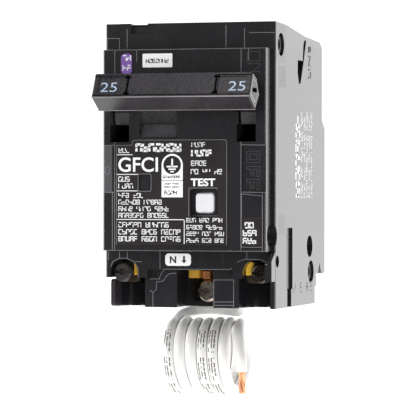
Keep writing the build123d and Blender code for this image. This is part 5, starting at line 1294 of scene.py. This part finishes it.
@dataclass
class MouldedLines:
    """Painted highlights: grey lines for the light caught by the edges and seams of the moulded case and by
    its moulded letters, laid on whatever surface is below them.

    Attributes:
        front: Lines of the raised front, as corners across and along, in millimetres.
        shoulder: Lines of the lower shoulders and the load end.
        width: Width of a line in millimetres.
        depth: Height of a line in millimetres.
        step: Distance between the places where a line is laid down, in millimetres.
        jump: Largest change of height that a line follows, in millimetres.
        drop_from: Height from which the places are dropped, in millimetres.
        lowest: Height below which no line is laid, in millimetres.
    """

    front: tuple[tuple[tuple[float, float], ...], ...] = (
        ((-20.6, 73.6), (-20.6, 66.4)), ((-20.6, 47.2), (-20.6, 16.4)),
        ((17.0, 73.6), (17.0, 66.3)), ((17.0, 47.2), (17.0, 16.4)),
        ((-24.1, 16.42), (24.1, 16.42)), ((-24.1, 73.55), (24.1, 73.55)),
        ((17.1, 46.4), (24.0, 46.3)), ((17.1, 33.1), (24.0, 33.0)), ((23.25, 33.0), (23.25, 16.5)),
        ((-24.1, 46.4), (-20.8, 46.4)), ((-24.1, 33.0), (-20.8, 33.0)), ((-21.3, 33.0), (-21.3, 16.5)),
        ((-22.8, 40.6), (-23.4, 40.0), (-23.4, 38.6), (-22.8, 38.0), (-22.2, 38.6), (-22.2, 40.0),
         (-22.8, 40.6)),
        ((-14.0, 73.4), (-14.0, 70.0)), ((19.2, 73.4), (19.2, 70.2)),
        ((1.66, 34.23), (9.95, 34.23), (9.95, 26.34), (1.66, 26.34), (1.66, 34.23)),
        ((-13.5, 38.2), (-9.9, 38.2), (-9.6, 37.8), (-9.6, 33.7), (-9.9, 33.3), (-13.5, 33.3), (-13.5, 38.2)),
    )
    letters: tuple[tuple[tuple[float, float], ...], ...] = (
        ((18.6, 44.6), (22.4, 44.6), (22.4, 41.4), (18.6, 41.4), (18.6, 44.6)),
        ((19.4, 43.8), (21.6, 43.8), (21.6, 42.2), (19.4, 42.2), (19.4, 43.8)),
        ((18.6, 40.3), (22.4, 40.3), (22.4, 37.4), (21.6, 37.4), (21.6, 39.5), (20.6, 39.5), (20.6, 37.9),
         (19.8, 37.9), (19.8, 39.5), (18.6, 39.5), (18.6, 40.3)),
        ((18.6, 36.7), (22.4, 36.7), (22.4, 33.8), (21.6, 33.8), (21.6, 35.9), (20.6, 35.9), (20.6, 34.3),
         (19.8, 34.3), (19.8, 35.9), (18.6, 35.9), (18.6, 36.7)),
        ((18.9, 72.6), (22.4, 72.6), (22.4, 69.9), (18.9, 69.9), (18.9, 72.6)),
        ((18.9, 69.2), (22.4, 69.2), (22.4, 68.4), (20.1, 66.9), (22.4, 66.9), (22.4, 66.2)),
    )
    shoulder: tuple[tuple[tuple[float, float], ...], ...] = (
        ((-23.8, 11.6), (-23.2, 13.1), (-21.3, 14.0), (-18.9, 14.0), (-16.8, 13.1), (-15.5, 11.3),
         (-15.4, 8.1),
         (-14.0, 7.54)),
        ((-14.72, 7.47), (-14.11, 4.31), (-13.2, 2.6), (-12.59, 0.4)),
        ((-13.2, 7.49), (-12.74, 4.9), (-11.68, 4.2), (-10.62, 5.22), (-10.63, 7.23)),
        ((-13.44, 8.12), (-9.81, 8.16), (-9.06, 9.89), (-8.01, 11.0), (12.03, 11.1), (13.3, 12.1)),
        ((-10.78, 7.23), (-8.66, 7.54), (-7.45, 9.13), (-6.55, 9.71), (-4.7, 9.83)),
        ((13.36, 11.54), (14.39, 13.35), (16.46, 14.1), (21.18, 13.95), (24.1, 12.6)),
        ((6.6, 0.2), (6.6, 8.0), (12.5, 8.07), (12.5, 0.2)),
        ((-13.5, 0.2), (-13.5, 4.6)), ((-11.7, 0.2), (-11.7, 4.0)), ((-14.4, 8.0), (-9.4, 8.1)),
        ((6.6, 1.7), (12.5, 1.81)), ((6.6, 0.75), (12.5, 0.82)),
        ((-24.54, 15.93), (-24.54, 13.62), (-25.3, 13.61)),
        ((-21.18, 15.95), (-21.18, 14.1)), ((-18.78, 15.97), (-18.78, 14.1)),
        ((-13.6, 16.01), (-13.59, 13.0), (-16.6, 13.11)), ((-8.92, 16.05), (-8.91, 11.04)),
        ((-25.3, 77.3), (-21.23, 77.22), (-21.23, 74.2)), ((-18.9, 79.9), (-18.9, 74.2)),
        ((16.24, 79.6), (16.25, 74.0)), ((17.6, 78.3), (25.2, 78.2)), ((10.76, 80.6), (10.77, 74.2)),
        ((17.0, 16.1), (17.0, 14.2)), ((12.8, 16.1), (12.8, 13.0)),
        ((-25.2, 81.2), (-25.2, 74.0)), ((-25.2, 16.0), (-25.2, 8.8)),
    )
    width: float = 0.16
    depth: float = 0.03
    step: float = 0.35
    jump: float = 0.3
    drop_from: float = 100.0
    lowest: float = 40.0

    def build(self) -> None:
        """Lay both sets of lines."""
        names = ["pole_shell_left", "pole_shell_right", "module_base", "front_cover", "nameplate"]
        tree = surface_tree(names)
        sets = (
            ("front_edges", self.front, "edge_highlight_grey"),
            ("moulded_letters", self.letters, "edge_highlight_dim"),
            ("shoulder_edges", self.shoulder, "edge_highlight_grey"),
        )
        for name, lines, finish in sets:
            piece = self.drape(name, lines, tree)
            finish_piece(piece, "case", material(finish))

    def drape(self, name: str, lines: tuple, tree: BVHTree) -> bpy.types.Object:
        """One piece with all lines, each broken where the surface steps.

        Each line is read at equal steps and dropped on the surface; a run of places whose heights
        change by less than the jump gets a bar with the line's width.

        Args:
            name: The piece's name.
            lines: Corners of each line, across and along, in millimetres.
            tree: The surface the lines lie on.

        Returns:
            The new piece.
        """
        points, faces, start = [], [], 0
        for line in lines:
            flat = resample(np.array(line, float), self.step)
            above = [Vector((x * MM, LOAD_Y + y * MM, self.drop_from * MM)) for x, y in flat]
            drops = [tree.ray_cast(place, Vector((0, 0, -1)))[0] for place in above]
            height = np.array([-1.0 if drop is None else drop.z / MM for drop in drops])
            broken = np.abs(np.diff(height)) > self.jump
            for run in np.split(np.arange(len(flat)), np.nonzero(broken)[0] + 1):
                if len(run) < 2 or height[run[0]] < self.lowest:
                    continue
                some, walls = strip_points(Face.FRONT, flat[run], self.width, self.depth)
                some[:, 2] += np.repeat((height[run] * MM - FRONT_Z), 4)
                points.append(some)
                faces.append(walls + start)
                start += len(some)
        return mesh_piece(name, np.concatenate(points), np.concatenate(faces))


def surface_tree(names: list[str]) -> BVHTree:
    """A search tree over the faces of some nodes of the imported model."""
    points, faces, start = [], [], 0
    for name in names:
        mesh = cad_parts[name].data
        flat = np.empty(len(mesh.vertices) * 3)
        mesh.vertices.foreach_get("co", flat)
        corners = np.empty(len(mesh.loops), int)
        mesh.loops.foreach_get("vertex_index", corners)
        points.append(flat.reshape(-1, 3))
        faces.append(corners.reshape(-1, 3) + start)
        start += len(mesh.vertices)
    return BVHTree.FromPolygons(np.concatenate(points).tolist(), np.concatenate(faces).tolist())


def resample(line: Array, step: float) -> Array:
    """Places along a run of corners at equal steps, its corners kept."""
    lengths = np.linalg.norm(np.diff(line, axis=0), axis=1)
    total = np.concatenate([[0.0], np.cumsum(lengths)])
    places = np.unique(np.concatenate([total, np.arange(0.0, total[-1], step)]).round(6))
    places = places[np.concatenate([[True], np.diff(places) > 1e-3])]
    return np.stack([np.interp(places, total, line[:, 0]), np.interp(places, total, line[:, 1])], axis=-1)


@dataclass
class SidePrint:
    """White print on the right side, and its moulded words in dim grey, a painted highlight of their edges.

    Attributes:
        word: The bold row that stands for the maker's line, along and up from the back.
        rows: Rows of fine print beside it.
        moulded: The moulded row at the load end, up from the back and along.
        ink: Height of the ink in millimetres.
    """

    word: Row = Row((31.6, 28.2), 56.9, 5.2, 1)
    rows: tuple[Row, ...] = (
        Row((31.4, 25.2), 57.4, 1.9, 5),
        Row((31.4, 22.3), 56.5, 1.7, 5),
        Row((31.4, 19.7), 57.0, 1.7, 4),
        Row((31.4, 17.1), 55.5, 1.7, 5),
        Row((31.4, 14.5), 57.2, 1.7, 4),
    )
    moulded: Row = Row((14.2, 3.7), 36.6, 3.0, 6)
    ink: float = 0.02

    def build(self) -> None:
        """Print the side and add the moulded words."""
        white = material("print_white")
        bold = [row_strokes(self.word, 3, 0.23)]
        fine = [row_strokes(row, 200 + number, 0.2) for number, row in enumerate(self.rows)]
        for name, parts in (("side_maker_line", bold), ("side_small_print", fine)):
            centres = np.concatenate([part[0] for part in parts])
            halves = np.concatenate([part[1] for part in parts])
            piece = mesh_piece(name, *slab_points(Face.RIGHT, centres[:, ::-1], halves[:, ::-1], self.ink))
            finish_piece(piece, "case", white)
        # painted highlight: the moulded words are black plastic, and their dim grey stands for light caught
        # by their edges
        low = Vector(on_face(Face.RIGHT, np.array(16.4), np.array(66.6), np.array(-0.02)))
        letters = lettering("side_line_word", "LINE", low, Vector((0, 1, 0)), Vector((0, 0, 1)),
                            (9.5, 2.6), 0.0, 0.12)
        finish_piece(letters, "case", material("edge_highlight_dim"))
        centres, halves = row_strokes(self.moulded, 301, 0.18)
        moulded = mesh_piece("side_moulded_text", *slab_points(Face.RIGHT, centres, halves, self.ink))
        finish_piece(moulded, "case", material("edge_highlight_dim"))


@dataclass
class ChannelCheek:
    """Outer wall of the left wire channel: a thin moulded rib with a rounded top.

    Attributes:
        across: Its range across, in millimetres.
        profile: Its outline, along and up, in millimetres.
    """

    across: tuple[float, float] = (-24.45, -23.2)
    profile: tuple[tuple[float, float], ...] = (
        (0.1, 42.6), (0.1, 51.6), (0.35, 52.3), (1.0, 52.6), (7.0, 52.6), (7.7, 52.3), (7.95, 51.6),
        (7.95, 42.6),
    )

    def build(self) -> None:
        """Draw the profile across its range; three four-sided faces close each end."""
        flat = np.array(self.profile)
        count = len(flat)
        points = np.concatenate([np.column_stack([np.full(count, x), flat]) for x in self.across])
        points = points * MM + np.array([0, LOAD_Y, 0])
        i = np.arange(count)
        j = (i + 1) % count
        ends = np.array([[0, 1, 2, 3], [0, 3, 4, 7], [4, 5, 6, 7]])
        faces = np.concatenate([np.stack([i, j, j + count, i + count], axis=-1), ends, ends + count])
        cheek = mesh_piece("channel_cheek", points, faces)
        recalculate(cheek)
        finish_piece(cheek, "case", material("handle_black"))


@dataclass
class ButtonSpring:
    """Coil spring under the test button.

    Attributes:
        turns: Number of turns.
        wire: Radius of the wire in millimetres.
        travel: Travel of the button in millimetres; not used.
        steps: Places along the wire.
        sides: Sides of the wire.
    """

    turns: float = 6.0
    wire: float = 0.22
    travel: float = 1.75
    steps: int = 200
    sides: int = 8

    def build(self) -> None:
        """Wind the spring: the middle line is (r cos 2 pi n t, r sin 2 pi n t, z0 + h t), with n turns."""
        low, high = (np.array(corner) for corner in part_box("button_spring"))
        middle = (low + high) / 2
        wire = self.wire * MM
        radius = (high[0] - low[0]) / 2 - wire
        t = np.linspace(0, 1, self.steps)
        turn = 2 * np.pi * self.turns * t
        out = np.stack([np.cos(turn), np.sin(turn), np.zeros(self.steps)], axis=-1)
        line = out * radius
        line[:, 2] = wire + (high[2] - low[2] - 2 * wire) * t
        line += np.array([middle[0], middle[1], low[2]])
        around = np.linspace(0, 2 * np.pi, self.sides, endpoint=False)
        up = np.array([0, 0, 1.0])
        ring = np.cos(around)[None, :, None] * out[:, None] + np.sin(around)[None, :, None] * up
        points = (line[:, None] + wire * ring).reshape(-1, 3)
        grid = np.arange(self.steps * self.sides).reshape(self.steps, self.sides)
        turned = np.roll(grid, -1, axis=1)
        walls = np.stack([grid[:-1], grid[1:], turned[1:], turned[:-1]], axis=-1).reshape(-1, 4)
        ends = np.array([[0, 1, 2, 3], [0, 3, 4, 7], [4, 5, 6, 7]])
        faces = np.concatenate([walls, ends, ends + (self.steps - 1) * self.sides])
        spring = mesh_piece("button_coil", points, faces, smooth=True)
        recalculate(spring)
        finish_piece(spring, "case", material("spring_wire"))
        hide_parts("button_spring")
        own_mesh(spring)


# ---- case and mechanism ----------------------------------------------------------------------


@dataclass
class CaseDress:
    """Finishes of the nodes that keep their own shape.

    Attributes:
        per_pole: Finish of each node that exists once a pole.
        single: Finish of each node that exists once.
    """

    per_pole: dict[str, str] = field(default_factory=lambda: {
        "pole_shell": "case_black",
        "pole_plate": "case_black",
        "handle": "handle_black",
        "pivot_pins": "zinc_screw",
        "contact_arm": "copper_bare",
        "line_jaw": "copper_bare",
        "jaw_clip": "spring_wire",
        "arc_chute": "iron_soft",
        "cradle": "iron_soft",
        "armature": "iron_soft",
        "bimetal": "zinc_screw",
        "yoke": "iron_soft",
        "braid": "copper_bare",
        "toggle_spring": "spring_wire",
        "wire_lug": "lug_brass_painted_shade",
        "load_strap": "brass_bright",
        # painted shade: the lug screws are darkened for the arches' shade
        "lug_screw": "screw_painted_shade",
    })
    single: dict[str, str] = field(default_factory=lambda: {
        "module_base": "case_black",
        "front_cover": "case_black",
        "case_rivets": "rivet_black",
        "handle_tie": "handle_black",
        "neutral_bar": "brass_bright",
        "neutral_clamp": "clamp_copper_painted_shade",
        "neutral_screw": "zinc_screw",
        "test_button": "button_white",
        "indicator_lens": "lens_dark",
        "circuit_board": "board_green",
        "board_parts": "component_dark",
        "sensing_coil": "core_blue",
        "solenoid": "coil_enamel",
        "plunger": "iron_soft",
        "trip_bar": "handle_black",
        "nameplate": "plate_black",
        "side_print": "case_black",
        "date_label": "plate_black",
        "serial_label": "label_white",
        "colour_sticker": "label_purple",
        "neutral_label": "label_white",
    })

    def build(self) -> None:
        """Dress every node."""
        for stem, finish in self.per_pole.items():
            for side in SIDES:
                dress(f"{stem}_{side}", finish)
        # painted shade and painted highlight on the load straps
        for side in SIDES:
            dress(f"load_strap_{side}", f"strap_{side}")
        dress("lug_screw_left", "screw_shade")  # it lies in the arch's shade
        for node, finish in self.single.items():
            dress(node, finish)


def main() -> None:
    """Build and dress every sub-assembly."""
    logging.basicConfig(level=logging.INFO, format="%(name)s: %(message)s")
    parts = [
        Studio(), NeutralLead(), CaseDress(), FrontPrint(), FrontLabels(), TieNumbers(), TieCap(),
        MouldedLines(), SidePrint(), ChannelCheek(), ButtonSpring(),
    ]
    for part in parts:
        part.build()
        LOG.info("built %s", type(part).__name__)
    bpy.context.view_layer.update()


if __name__ == "__main__":
    main()
